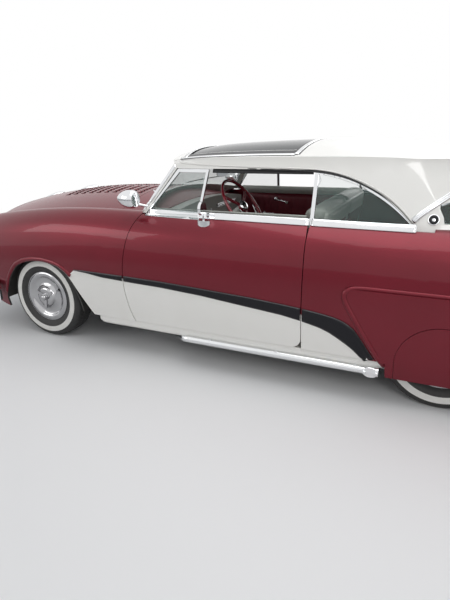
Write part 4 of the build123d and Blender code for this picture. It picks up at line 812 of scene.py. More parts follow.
def within(outline, y, z):
    """Whether (y, z) lies inside a convex outline."""
    turns = []
    for (y0, z0), (y1, z1) in zip(outline, outline[1:] + outline[:1]):
        turns.append((y1 - y0) * (z - z0) - (z1 - z0) * (y - y0))
    return max(turns) < EDGE_ALLOWS or min(turns) > -EDGE_ALLOWS


for node, body, outline in FRAMED_PANES:
    def is_pane(face):
        return within(outline, face.center.y, face.center.z) and abs(face.normal.x) > PANE_FACES

    show_node(node, node + "_framed", body, bright, clear_glass, second_where=is_pane, slot="clear_glass")

# Screen reveals: thin stainless mouldings clipped along the windshield's foot and
# head and along the rear window's head, over the rubber that holds the glass.
SCREENS = (
    # name, half width, height at the sides, height at the middle, y that it is seen from
    ("windshield_foot", 0.772, 1.092, 1.170, -BEHIND_Y),
    ("windshield_head", 0.640, 1.380, 1.430, -BEHIND_Y),
    ("backlight_head", 0.700, 1.190, 1.402, BEHIND_Y),
)
SCREEN_SHARE = 0.985
SCREEN_DROP = 0.012
front_screen = surface_of("windshield", "roof", "cowl")
rear_screen = surface_of("rear_window", "roof", "rear_deck")
for name, half, side_z, middle_z, start_y in SCREENS:
    line = []
    for share in shares(60):
        x = half * (1 - 2 * share) * SCREEN_SHARE
        z = mix(middle_z, side_z, (x / half) ** 2) - SCREEN_DROP
        line.append(on_end(x, z, rear_screen if start_y > 0 else front_screen, start_y))
    outward = REAR * math.copysign(1, start_y)
    show(name, strip(smoothed(line, 5), outward, width=0.020, height=0.005), "body", bright)

# Tyres: bias-ply rubber on drop-centre rims, with a painted-on white band and a
# ribbed tread whose grooves run in small zigzags round it.
TYRE_PROFILE = (
    # along the axle from the wheel's middle, radius
    (0.0745, 0.2080), (0.0800, 0.2160), (0.0880, 0.2260), (0.0945, 0.2390), (0.0980, 0.2500),
    (0.0992, 0.2570), (0.1000, 0.2580), (0.1004, 0.2700), (0.1000, 0.2860), (0.0990, 0.3000),
    (0.0980, 0.3010), (0.0960, 0.3120), (0.0915, 0.3210), (0.0860, 0.3270), (0.0800, 0.3340),
    (0.0740, 0.3400), (0.0580, 0.3430), (0.0560, 0.3370), (0.0500, 0.3370), (0.0480, 0.3436),
    (0.0300, 0.3446), (0.0280, 0.3380), (0.0220, 0.3380), (0.0200, 0.3448), (0.0000, 0.3450),
)
TYRE_INSIDE = ((-0.0580, 0.2040), (-0.0700, 0.3180), (0.0700, 0.3180), (0.0580, 0.2040))
WHITE_BAND = (0.2575, 0.3005)
WHITE_FROM_X = 0.09
TREAD_RADIUS = 0.335
TREAD_HALF = 0.059
TYRE_STEPS = 120
TYRE_CREASE = math.radians(35)
ZIGZAGS = 40
ZIGZAG_THROW = 0.0022
WHEELS = ("front_left", "front_right", "rear_left", "rear_right")
rubber = Finish("tyre_rubber", "tyre_rubber", (0.022, 0.022, 0.023), 0.65)
rubber.mottled(18, 4.0, (0.016, 0.016, 0.017), (0.040, 0.039, 0.037))
rubber.worn(0.50, 0.3, 60, 4.0).pebbled(420, 3.0, 0.0006, 0.5)
white_rubber = Finish("white_band", "tyre_rubber", (0.74, 0.73, 0.70), 0.55)
white_rubber.mottled(25, 4.0, (0.66, 0.65, 0.61), (0.80, 0.79, 0.76)).pebbled(300, 2.0, 0.0004, 0.3)


def turned(profile, centre, axis, steps, closed=False):
    """A shape turned about an axis from (along, radius) places."""
    bm = bmesh.new()
    across = UP if abs(axis.z) < 0.9 else REAR
    across = (across - axis * across.dot(axis)).normalized()
    corners = [bm.verts.new(centre + axis * along + across * radius) for along, radius in profile]
    edges = [bm.edges.new(pair) for pair in zip(corners, corners[1:])]
    if closed:
        edges.append(bm.edges.new((corners[-1], corners[0])))
    bmesh.ops.spin(
        bm, geom=corners + edges, cent=centre, axis=axis, angle=math.tau, steps=steps, use_merge=True
    )
    bmesh.ops.remove_doubles(bm, verts=bm.verts, dist=MERGE)
    for face in bm.faces:
        face.smooth = True
    return bm


def turned_mesh(profile, centre, axis, steps, crease=None, closed=False):
    return made_mesh(turned(profile, centre, axis, steps, closed), crease=crease)


full_profile = TYRE_PROFILE + tuple((-along, radius) for along, radius in TYRE_PROFILE[-2::-1]) + TYRE_INSIDE
for name in WHEELS:
    low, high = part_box("tyre_" + name)
    centre = (Vector(low) + Vector(high)) / 2
    outward = LEFT * math.copysign(1, centre.x)
    bm = turned(full_profile, centre, outward, TYRE_STEPS, closed=True)
    for vertex in bm.verts:
        arm = vertex.co - centre
        if math.hypot(arm.y, arm.z) > TREAD_RADIUS and abs(arm.x) < TREAD_HALF:
            vertex.co.x += ZIGZAG_THROW * math.sin(ZIGZAGS * math.atan2(arm.z, arm.y))
    bmesh.ops.recalc_face_normals(bm, faces=bm.faces)
    for face in bm.faces:
        arm = face.calc_center_median() - centre
        in_band = WHITE_BAND[0] < math.hypot(arm.y, arm.z) < WHITE_BAND[1]
        face.material_index = 1 if in_band and arm.dot(outward) > WHITE_FROM_X else 0
    mesh = bpy.data.meshes.new("made")
    bm.to_mesh(mesh)
    bm.free()
    mesh.set_sharp_from_angle(angle=TYRE_CREASE)
    show("tyre_rubber_" + name, mesh, "wheel_" + name, rubber, white_rubber, stands_for=("tyre_" + name,))

# Wheels: painted steel rims under full bright covers, pressed and polished, with
# a domed bullet and three spinner bars. The inner side is plain black.
COVER_STARTS = 0.0625
WHEEL_CREASE = math.radians(32)
satin_black = Finish("black_steel", "black_steel", (0.028, 0.028, 0.029), 0.55)
satin_black.mottled(12, 5.0, (0.020, 0.020, 0.021), (0.055, 0.050, 0.045))
satin_black.worn(0.42, 0.35, 35, 5.0).pebbled(160, 3.0, 0.0006, 0.4)
cover_chrome = Finish("cover_chrome", "bright_trim", (0.46, 0.46, 0.47), 0.06, metallic=1.0)
cover_chrome.mottled(11, 4.0, (0.36, 0.36, 0.37), (0.56, 0.56, 0.57)).worn(0.04, 0.10, 24, 5.0)
for name in WHEELS:
    low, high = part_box("tyre_" + name)
    cover_x = abs(low[0] + high[0]) / 2 + COVER_STARTS
    show_node(
        "wheel_" + name, "wheel_cover_" + name, "wheel_" + name, cover_chrome, satin_black,
        crease=WHEEL_CREASE, second_where=lambda face: abs(face.center.x) < cover_x,
    )

# Wheel wells: the fenders' inner sides, facing the wheels, are painted black as painted shade inside the
# wells, and the firewall's lower part is sprayed with black underseal over the primer.
WELL_Y = (-2.20, -1.05)
WELL_TOP_Z = 0.72
WELL_CENTRE = Vector((0, -1.73, 0.345))
WELL_FACES = 0.02
LIP_X = 0.895
FIREWALL_TOP_Z = 0.80


# faces inside a front wheel well, which are painted black as painted shade
def in_shaded_well(face):
    spot = face.center
    inward = face.normal.yz.dot((WELL_CENTRE - spot).yz) > WELL_FACES
    return inward and WELL_Y[0] < spot.y < WELL_Y[1] and spot.z < WELL_TOP_Z and abs(spot.x) < LIP_X


for name, test, number in (
    ("front_fender_left", in_shaded_well, 2),
    ("front_fender_right", in_shaded_well, 2),
    ("cowl", lambda face: face.center.z < FIREWALL_TOP_Z, 1),
):
    mesh = bpy.data.objects[name + "_skin"].data
    mesh.materials.append(satin_black.material)
    paint(mesh, test, number)

# Bright castings and pressings: bumpers, grille, side pipes, spotlights and the
# door mirror. Chromium over nickel, with soft wear in its gloss.
CAST_CREASE = math.radians(35)
BRIGHT_NODES = (
    # node, body
    ("front_bumper", "body"), ("rear_bumper", "body"), ("grille", "body"), ("exhaust", "body"),
    ("spotlights", "body"), ("door_mirror", "door_left"),
)
for node, body in BRIGHT_NODES:
    show_node(node, node + "_plated", body, bright, crease=CAST_CREASE)

# Lamps: sealed-beam headlamps with fluted lenses behind plated bezels, and ribbed
# red tail lamps. The lenses are pressed glass, held by their bezels' screws.
ALONG_X = 0
ALONG_Z = 2
HEADLAMP_PLACE = Vector((0.716, -2.456, 0.815))
HEADLAMP_BEZEL = (
    # along, radius
    (0.0, 0.100), (0.006, 0.098), (0.010, 0.103), (0.011, 0.110), (0.006, 0.117), (0.0, 0.119),
)
lens = Finish(
    "headlamp_lens", "red_lens", (0.74, 0.78, 0.80), 0.06,
    metallic=0.35, coat_weight=1.0, coat_roughness=0.02,
)
lens.raised(lens.waves(ALONG_X, 420) + 0.4 * lens.waves(ALONG_Z, 130), 0.002, 0.6)
red_lens = Finish("red_lens", "red_lens", (0.42, 0.008, 0.012), 0.16, coat_weight=0.2, coat_roughness=0.06)
rib_relief_and_shade = red_lens.waves(ALONG_Z, 520)
# the red is painted lighter on each rib's crest and darker in its groove: painted shade of the ribs
red_lens.raised(rib_relief_and_shade, 0.0015, 0.6).drive("Base Color", red_lens.blend(
    red_lens.step(rib_relief_and_shade, -1.0, 1.0), (0.26, 0.004, 0.008), (0.52, 0.014, 0.016)
))
for node, finish in (("headlights", lens), ("tail_lights", red_lens)):
    show_node(node, node + "_lens", "body", finish, crease=CAST_CREASE)
show_both("headlamp_bezel", turned_mesh(HEADLAMP_BEZEL, HEADLAMP_PLACE, -REAR, 72), "body", bright)

# Plain running gear and closed inner pieces keep their nodes, in black paint and
# cast iron.
iron = Finish("engine_iron", None, (0.085, 0.085, 0.09), 0.55, metallic=0.4)
iron.worn(0.45, 0.3, 25, 5.0).pebbled(90, 4.0, 0.001, 0.5)
KEPT_NODES = (
    # node, finish
    ("chassis_frame", satin_black), ("front_suspension", satin_black), ("rear_axle", satin_black),
    ("knuckle_left", satin_black), ("knuckle_right", satin_black), ("fuel_tank", satin_black),
    ("engine", iron),
)
for node, finish in KEPT_NODES:
    for slot in nodes[node].material_slots:
        slot.material = finish.material

# Floor: pressed steel painted black below, with a looped wool carpet glued to its
# upper side as far back as the rear seat.
CARPET_END_Y = 1.2
CARPET_FACES = 0.3
carpet = Finish("carpet", None, (0.10, 0.012, 0.018), 0.95)
carpet.mottled(260, 3.0, (0.045, 0.006, 0.010), (0.15, 0.020, 0.028)).pebbled(260, 3.0, 0.004, 0.8)
show_node(
    "floor_pan", "floor_pan_skin", "body", satin_black, carpet,
    second_where=lambda face: face.normal.z > CARPET_FACES and face.center.y < CARPET_END_Y,
)


# Seats: sprung bench cushions in pleated burgundy vinyl with plain side panels, and
# a pale roll along the tops of the backs. Each pad is inflated as cloth, then
# pressed in along its pleats.
vinyl = Finish(
    "burgundy_vinyl", "seat_vinyl", (0.20, 0.012, 0.028), 0.42, coat_weight=0.15, coat_roughness=0.3
)
vinyl.mottled(9, 4.0, (0.15, 0.008, 0.020), (0.26, 0.020, 0.038))
vinyl.worn(0.34, 0.25, 210, 4.0).pebbled(210, 4.0, 0.0012, 0.45)
pale_vinyl = Finish(
    "pale_vinyl", "seat_vinyl", (0.58, 0.60, 0.54), 0.45, coat_weight=0.1, coat_roughness=0.3
)
pale_vinyl.mottled(9, 4.0, (0.52, 0.54, 0.48), (0.64, 0.66, 0.60))
pale_vinyl.worn(0.36, 0.25, 210, 4.0).pebbled(210, 4.0, 0.0012, 0.45)
VOXEL = 0.011
PAD_EDGE = 0.030
PRESSURE = 4.0
STIFFNESS = 8.0
BLOWING_FRAMES = 14
PLEAT = 0.062
PLEAT_DEPTH = 0.007
PLEAT_POWER = 0.55
PLEATS_FACE = 0.55
PLEAT_END = 0.02
ROLL_FADE = 0.012
ROLL_GROOVE = 0.007
ROLL_GROOVE_DEPTH = 0.005
NO_ROLL = 9.0
FRONT_BACK = ((0.285, 0.590), (0.385, 1.010), (0.390, 1.145), (0.515, 1.150), (0.500, 0.980), (0.395, 0.560))
CUSHIONS = (
    # name, stands for, profile (y, z), x from, x to, swell, fill, height of the pale roll,
    # way the pleated face looks, pleat margin
    ("front_cushion", ("front_seat",), ((-0.175, 0.425), (-0.180, 0.535), (0.300, 0.565), (0.330, 0.425)),
     -0.622, 0.622, 0.022, 0.85, NO_ROLL, (0, -0.05, 1), 0.07),
    ("front_back_left", (), FRONT_BACK, 0.008, 0.622, 0.024, 0.85, 1.000, (0, -0.97, 0.24), 0.06),
    ("front_back_right", (), FRONT_BACK, -0.622, -0.008, 0.024, 0.85, 1.000, (0, -0.97, 0.24), 0.06),
    ("rear_cushion", ("rear_seat",), ((0.862, 0.555), (0.862, 0.665), (1.185, 0.650), (1.190, 0.550)),
     -0.625, 0.625, 0.020, 0.8, NO_ROLL, (0, 0, 1), 0.07),
    ("rear_back", (), ((1.180, 0.675), (1.285, 1.010), (1.372, 1.005), (1.330, 0.670)),
     -0.625, 0.625, 0.018, 0.8, 0.960, (0, -0.95, 0.3), 0.06),
)


def block(profile, start_x, end_x, edge):
    """A solid with rounded edges from a profile drawn from the side."""
    bm = bmesh.new()
    side = bm.faces.new([bm.verts.new((start_x, y, z)) for y, z in profile])
    run = bmesh.ops.extrude_face_region(bm, geom=[side])
    fresh = [part for part in run["geom"] if isinstance(part, bmesh.types.BMVert)]
    bmesh.ops.translate(bm, verts=fresh, vec=(end_x - start_x, 0, 0))
    bmesh.ops.recalc_face_normals(bm, faces=bm.faces)
    bmesh.ops.bevel(
        bm, geom=list(bm.edges), offset=edge, segments=3, profile=0.5, affect="EDGES", material=-1
    )
    return bm


def worked_out(holder):
    """An object after its modifiers."""
    return holder.evaluated_get(bpy.context.evaluated_depsgraph_get())


def inflated(profile, start_x, end_x, swell):
    """A sewn pad blown up from a profile drawn from the side, by no more than swell."""
    bm = block(profile, start_x, end_x, PAD_EDGE)
    mesh = bpy.data.meshes.new("pad")
    bm.to_mesh(mesh)
    bm.free()
    pad = bpy.data.objects.new("pad", mesh)
    bpy.context.scene.collection.objects.link(pad)
    remesh = pad.modifiers.new("voxels", "REMESH")
    remesh.mode = "VOXEL"
    remesh.voxel_size = VOXEL
    mesh = bpy.data.meshes.new_from_object(worked_out(pad))
    pad.modifiers.clear()
    pad.data = mesh
    cloth = pad.modifiers.new("cloth", "CLOTH")
    cloth.settings.use_pressure = True
    cloth.settings.uniform_pressure_force = PRESSURE
    cloth.settings.effector_weights.gravity = 0.0
    cloth.settings.tension_stiffness = STIFFNESS
    cloth.settings.compression_stiffness = STIFFNESS
    cloth.settings.quality = 4
    for number in range(1, BLOWING_FRAMES + 1):
        bpy.context.scene.frame_set(number)
    moved = [corner.co.copy() for corner in worked_out(pad).data.vertices]
    for corner, place in zip(mesh.vertices, moved):
        step = place - corner.co
        if step.length > swell:
            step *= swell / step.length
        corner.co += step
    pad.modifiers.clear()
    bpy.context.scene.frame_set(1)
    finer = pad.modifiers.new("finer", "SUBSURF")
    finer.levels = 1
    finer.render_levels = 1
    mesh = bpy.data.meshes.new_from_object(worked_out(pad))
    bpy.data.objects.remove(pad)
    return mesh


def clamped(share):
    return max(0.0, min(1.0, share))


for name, stands_for, profile, start_x, end_x, swell, fill, roll_z, looks, margin in CUSHIONS:
    mesh = inflated(profile, start_x, end_x, swell)
    looks = Vector(looks).normalized()
    middle = (start_x + end_x) / 2
    half = (end_x - start_x) / 2 - margin
    normals = [corner.normal.copy() for corner in mesh.vertices]
    for corner, normal in zip(mesh.vertices, normals):
        facing = clamped((normal.dot(looks) - PLEATS_FACE) / (1 - PLEATS_FACE) * 2)
        inside = clamped((half - abs(corner.co.x - middle)) / PLEAT_END)
        below = clamped((roll_z - corner.co.z) / ROLL_FADE)
        sewn = abs(math.sin(math.pi * (corner.co.x - middle) / PLEAT)) ** PLEAT_POWER
        corner.co -= normal * PLEAT_DEPTH * facing * inside * below * (1 - sewn)
        groove = math.exp(-((corner.co.z - roll_z) / ROLL_GROOVE) ** 2) * facing
        corner.co -= normal * ROLL_GROOVE_DEPTH * groove
    mesh.shade_smooth()
    paint(mesh, lambda face: face.center.z > roll_z)
    pad = show(name, mesh, "body", vinyl, pale_vinyl, stands_for=stands_for)

# Seat base and shell: a vinyl-covered box under the front cushion and a pale
# moulded shell behind its backs, both screwed to the seat's frame.
SEAT_EDGE = 0.012
SEAT_BASES = (
    # name, profile (y, z), half width, finish
    ("front_seat_base", ((-0.150, 0.268), (-0.168, 0.415), (0.330, 0.415), (0.400, 0.300)), 0.600, vinyl),
    ("front_seat_shell", (
        (0.385, 0.420), (0.455, 0.560), (0.528, 1.100), (0.500, 1.105), (0.400, 0.600), (0.330, 0.420),
    ), 0.605, pale_vinyl),
)
for name, profile, half, finish in SEAT_BASES:
    mesh = made_mesh(block(profile, -half, half, SEAT_EDGE))
    mesh.shade_smooth()
    show(name, mesh, "body", finish)

# Door trim: hardboard panels in pleated vinyl under a pale painted garnish rail,
# clipped to the door's inner steel.
PANEL_LOW_Z = 0.360
PANEL_TOP_Z = 1.040
RAIL_TOP_Z = 1.108
PANEL_Y = (-0.640, 0.430)
INNER_WALL_X = 0.7665
PANEL_STANDS = 0.002
PANEL_PLEAT = 0.07
PANEL_PLEAT_DEPTH = 0.004
PANEL_EDGE = 0.01
PANEL_PLEAT_EDGE = 0.03
RAIL_STANDS = 0.001
RAIL_CROWN = 0.010
garnish = Finish(
    "garnish_paint", "dash_paint", (0.56, 0.58, 0.53), 0.35, coat_weight=0.4, coat_roughness=0.15
)
garnish.mottled(5, 4.0, (0.52, 0.54, 0.49), (0.61, 0.63, 0.58)).worn(0.28, 0.14, 30, 4.0)


def lining_place(u, v):
    along = mix(*PANEL_Y, u) - PANEL_Y[0]
    pleat = PANEL_PLEAT_DEPTH * abs(math.sin(math.pi * along / PANEL_PLEAT)) ** 0.6
    rim = min(u, 1 - u, v, 1 - v)
    stands = PANEL_STANDS * min(1.0, rim / PANEL_EDGE) + pleat * min(1.0, rim / PANEL_PLEAT_EDGE)
    return Vector((INNER_WALL_X - stands, PANEL_Y[0] + along, mix(PANEL_LOW_Z, PANEL_TOP_Z, v)))


def rail_place(u, v):
    x = INNER_WALL_X - RAIL_STANDS - RAIL_CROWN * math.sin(math.pi * v)
    return Vector((x, mix(*PANEL_Y, u), mix(PANEL_TOP_Z, RAIL_TOP_Z, v)))


mesh = made_mesh(shaped_grid(200, 16, lining_place), -LEFT, thickness=0.002)
show_both("door_lining", mesh, "door", vinyl)
mesh = made_mesh(shaped_grid(40, 12, rail_place), -LEFT, thickness=0.002)
show_both("garnish_rail", mesh, "door", garnish)

# Door fittings: a plated window crank with a pale knob, and a door handle, each
# an arm on a round boss that is pinned to its shaft.
BOSS = ((0.0, 0.024), (0.004, 0.024), (0.010, 0.018), (0.022, 0.014), (0.026, 0.010), (0.026, 0.0))
CRANK_KNOB = ((0.0, 0.0), (0.0, 0.008), (0.010, 0.011), (0.022, 0.010), (0.026, 0.006), (0.026, 0.0))
ARM_LIFT = 0.020
ARM_BOW = 0.006
ARM_RADIUS = 0.0055
DOOR_FITTINGS = (
    # name, boss (y, z), end of the arm (y, z)
    ("crank", (-0.306, 0.990), (-0.190, 0.962)),
    ("handle", (-0.420, 0.850), (-0.320, 0.855)),
)


def tube(points, radius):
    """A round rod or wire bent along the points."""
    line = bpy.data.curves.new("tube", "CURVE")
    line.dimensions = "3D"
    line.bevel_depth = radius
    line.bevel_resolution = 3
    line.use_fill_caps = True
    spline = line.splines.new("NURBS")
    spline.points.add(len(points) - 1)
    for knot, place in zip(spline.points, points):
        knot.co = (*place, 1)
    spline.order_u = 3
    spline.use_endpoint_u = True
    holder = bpy.data.objects.new("tube", line)
    bpy.context.scene.collection.objects.link(holder)
    mesh = bpy.data.meshes.new_from_object(worked_out(holder))
    bpy.data.objects.remove(holder)
    return joined(mesh, outward=True)


for part, boss_at, end_at in DOOR_FITTINGS:
    root = Vector((INNER_WALL_X - RAIL_STANDS, *boss_at))
    knuckle = root - LEFT * ARM_LIFT
    tip = Vector((knuckle.x, *end_at))
    arm = tube([knuckle, knuckle.lerp(tip, 0.5) - LEFT * ARM_BOW, tip], ARM_RADIUS)
    show_both(f"door_{part}_boss", turned_mesh(BOSS, root, -LEFT, 32), "door", bright)
    show_both(f"door_{part}_arm", arm, "door", bright)
    if part == "crank":
        show_both("door_crank_knob", turned_mesh(CRANK_KNOB, tip, -LEFT, 24), "door", garnish)

# Dashboard: pressed steel, painted pale above and black below, with two round
# dials before the driver and a clock, chromed knobs and three bright strips.
DASH_CREASE = math.radians(30)
DASH_BLACK_Z = 0.78
DASH_FROM_Y = 0.2
show_node(
    "dashboard", "dashboard_skin", "body", garnish, satin_black,
    crease=DASH_CREASE, second_where=lambda face: face.center.z < DASH_BLACK_Z,
)
dash_face = surface_of("dashboard")

DIALS = (
    # x, z, radius
    (0.455, 0.965, 0.052), (0.305, 0.965, 0.052), (0.0, 0.950, 0.036),
)
# along, share of the dial's radius
DIAL_RING = ((0.0, 0.96), (0.004, 1.0), (0.009, 1.02), (0.009, 1.10), (0.004, 1.16), (0.0, 1.17))
DIAL_SHARE = 0.98
DIAL_LIFT = 0.0015
NEEDLE_LIFT = 0.004
NEEDLE_TIP = (-0.6, 0.45)
NEEDLE_RADIUS = 0.0012
dial = Finish("dial_face", "black_steel", (0.03, 0.03, 0.032), 0.3, coat_weight=0.8, coat_roughness=0.05)
dial.mottled(120, 2.0, (0.020, 0.020, 0.022), (0.045, 0.045, 0.048))
for number, (x, z, radius) in enumerate(DIALS):
    place, _ = on_end(x, z, dash_face, DASH_FROM_Y)
    ring = [(along, share * radius) for along, share in DIAL_RING]
    show(f"dial_ring_{number}", turned_mesh(ring, place, REAR, 48), "body", bright)
    plate = ((DIAL_LIFT, 0.0), (DIAL_LIFT, radius * DIAL_SHARE))
    show(f"dial_face_{number}", turned_mesh(plate, place, REAR, 48), "body", dial)
    root = place + REAR * NEEDLE_LIFT
    tip = root + Vector((NEEDLE_TIP[0] * radius, 0, NEEDLE_TIP[1] * radius))
    show(f"dial_needle_{number}", tube([root, tip], NEEDLE_RADIUS), "body", pale_vinyl, slot="dash_paint")

KNOB = ((0.0, 0.006), (0.010, 0.006), (0.012, 0.013), (0.022, 0.014), (0.026, 0.010), (0.027, 0.0))
KNOBS_X = (0.56, 0.20, 0.10, -0.10, -0.20, -0.30)
KNOBS_Z = 0.905
STRIPS_X = (-0.55, -0.10)
STRIPS_Z = (0.990, 1.002, 1.014)
for number, x in enumerate(KNOBS_X):
    place, _ = on_end(x, KNOBS_Z, dash_face, DASH_FROM_Y)
    show(f"dash_knob_{number}", turned_mesh(KNOB, place, REAR, 24), "body", bright)
for number, z in enumerate(STRIPS_Z):
    line = [on_end(mix(*STRIPS_X, share), z, dash_face, DASH_FROM_Y) for share in shares(9)]
    mesh = strip(line, REAR, wall=0.0006, width=0.005, height=0.003)
    show(f"dash_strip_{number}", mesh, "body", bright)

# Steering wheel: moulded burgundy rim and spokes, with a bright half ring for the
# horn and a domed bright button.
HUB = Vector((0.380, -0.150, 1.085))
COLUMN_TILT = math.radians(35)
TOWARD_DRIVER = Vector((0, math.cos(COLUMN_TILT), math.sin(COLUMN_TILT)))
MOULDED_CREASE = math.radians(40)
HORN_RADIUS = 0.120
HORN_WIRE = 0.0045
HORN_LIFT = 0.020
HORN_ARC = (1.05 * math.pi, 1.95 * math.pi)
BUTTON = ((0.004, 0.046), (0.012, 0.044), (0.022, 0.034), (0.028, 0.018), (0.030, 0.0))
wheel_plastic = Finish(
    "wheel_plastic", "wheel_plastic", (0.25, 0.010, 0.022), 0.22, coat_weight=0.7, coat_roughness=0.08
)
wheel_plastic.mottled(14, 4.0, (0.20, 0.008, 0.018), (0.30, 0.014, 0.030))
show_node(
    "steering_wheel", "steering_wheel_moulded", "steering_wheel", wheel_plastic, crease=MOULDED_CREASE
)
wheel_up = LEFT.cross(TOWARD_DRIVER)
ring = []
for share in shares(32):
    swing = mix(*HORN_ARC, share)
    arm = LEFT * math.cos(swing) + wheel_up * math.sin(swing)
    ring.append(HUB + TOWARD_DRIVER * HORN_LIFT + arm * HORN_RADIUS)
show("horn_ring", tube(ring, HORN_WIRE), "steering_wheel", bright)
show("horn_button", turned_mesh(BUTTON, HUB, TOWARD_DRIVER, 40), "steering_wheel", bright)

# Cabin mirror: a bright oval shell and its glass on a short stem from the header.
MIRROR = Vector((0.0, -0.485, 1.285))
MIRROR_STRETCH = 3.6
MIRROR_SHELL = ((0.0, 0.030), (0.004, 0.031), (0.014, 0.027), (0.020, 0.014), (0.022, 0.0))
MIRROR_GLASS = ((0.0, 0.0), (0.0, 0.030))
MIRROR_PARTS = (
    # name, profile, axis, way its sheet faces
    ("shell", MIRROR_SHELL, -REAR, None), ("glass", MIRROR_GLASS, REAR, REAR),
)
MIRROR_STEM = ((0, -0.018, 0), (0, -0.030, 0.045), (0, -0.040, 0.100))
for part, profile, axis, outward in MIRROR_PARTS:
    bm = turned(profile, MIRROR, axis, 32)
    for vertex in bm.verts:
        vertex.co.x *= MIRROR_STRETCH
    show("cabin_mirror_" + part, made_mesh(bm, outward), "body", bright)
show("cabin_mirror_stem", tube([MIRROR + Vector(bend) for bend in MIRROR_STEM], 0.005), "body", bright)

# Pillar discs: plain turned discs on the rear pillars' feet, each in a black
# enamelled ring and held by a stud from behind.
DISC_AT = (1.134, 1.112)
DISC = (
    # along, radius
    (0.0, 0.031), (0.004, 0.031), (0.006, 0.028), (0.004, 0.024), (0.003, 0.018), (0.005, 0.010),
    (0.006, 0.0),
)
DISC_RING = ((0.0, 0.0255), (0.0064, 0.0255), (0.0064, 0.009), (0.0, 0.009))
place, outward = on_side(*DISC_AT, roof_surface)
show_both("pillar_disc", turned_mesh(DISC, place, outward, 48), "body", bright)
show_both("pillar_disc_ring", turned_mesh(DISC_RING, place, outward, 48, closed=True), "body", black_enamel)

# Side pipe ends: oval plated flanges that close the pipes behind the doors, each
# held by two hexagon bolts.
PIPE_FLANGE = ((-0.022, 0.024), (0.0, 0.025), (0.0005, 0.031), (0.003, 0.033), (0.006, 0.031), (0.0065, 0.0))
FLANGE_STRETCH = 1.42
FLANGE_AT = Vector((0.9275, 0.893, 0.226))
FLANGE_CREASE = math.radians(50)
BOLT = ((0.0, 0.0085), (0.006, 0.0085), (0.007, 0.007), (0.007, 0.0))
BOLT_LIFT = 0.0055
BOLTS_Y = (-0.034, 0.034)
BOLT_CREASE = math.radians(30)
bm = turned(PIPE_FLANGE, FLANGE_AT, LEFT, 48)
for vertex in bm.verts:
    vertex.co.y = mix(FLANGE_AT.y, vertex.co.y, FLANGE_STRETCH)
show_both("pipe_flange", made_mesh(bm, crease=FLANGE_CREASE), "body", bright)
for number, shift in enumerate(BOLTS_Y):
    root = FLANGE_AT + LEFT * BOLT_LIFT + REAR * shift
    show_both(f"pipe_bolt_{number}", turned_mesh(BOLT, root, LEFT, 6, BOLT_CREASE), "body", bright)

# Rear fender edges: the raised panel's front and upper edges are rolled round, and
# catch the light as a pale line up to the tail.
SCOOP_EDGE = (
    # y, z
    (0.965, 0.262), (0.900, 0.362), (0.830, 0.475), (0.765, 0.580), (0.722, 0.650), (0.706, 0.685),
    (0.716, 0.716), (0.745, 0.732), (0.820, 0.735), (1.200, 0.735), (1.700, 0.735), (2.100, 0.735),
    (2.360, 0.735),
)
edge = smoothed([on_side(place.y, place.z) for place in between(SCOOP_EDGE, 150)], 8)
mesh = strip(edge, LEFT, width=0.030, height=0.008, power=2.4, lift=0.0)
mesh.shade_smooth()
show_both("scoop_edge", mesh, "body", burgundy)

# Rocker tubes: white round sills between the arches, with closed ends, welded to
# the rocker panels.
ROCKER_FRONT = Vector((0.8585, -1.138, 0.2590))
ROCKER_CREASE = math.radians(50)
ROCKER_TUBE = (
    # along, radius
    (0.0, 0.0), (0.004, 0.014), (0.014, 0.024), (0.030, 0.0305), (0.055, 0.0332), (0.085, 0.0335),
    (2.020, 0.0335), (2.060, 0.0300), (2.080, 0.0200), (2.085, 0.0),
)
show_both("rocker_tube", turned_mesh(ROCKER_TUBE, ROCKER_FRONT, REAR, 40, ROCKER_CREASE), "body", ivory)

# Front arch lips: the fenders' edges are rolled outward into a rounded bead that
# ends where the white part begins.
ARCH_LINE = (
    # y, z
    (-2.120, 0.350), (-2.058, 0.472), (-2.000, 0.548), (-1.940, 0.604), (-1.850, 0.643), (-1.745, 0.664),
    (-1.640, 0.668), (-1.534, 0.657), (-1.470, 0.640), (-1.410, 0.607), (-1.366, 0.572),
)
ARCH_CENTRE = Vector((0, -1.700, 0.300))
LIP_OUT = 0.017
lip = []
for place in between(ARCH_LINE, 90):
    place = place + (place - ARCH_CENTRE).normalized() * LIP_OUT
    lip.append(on_side(place.y, place.z))
mesh = strip(smoothed(lip, 4), LEFT, width=0.034, height=0.009, power=2.2, lift=0.0)
mesh.shade_smooth()
show_both("front_arch_lip", mesh, "body", burgundy)
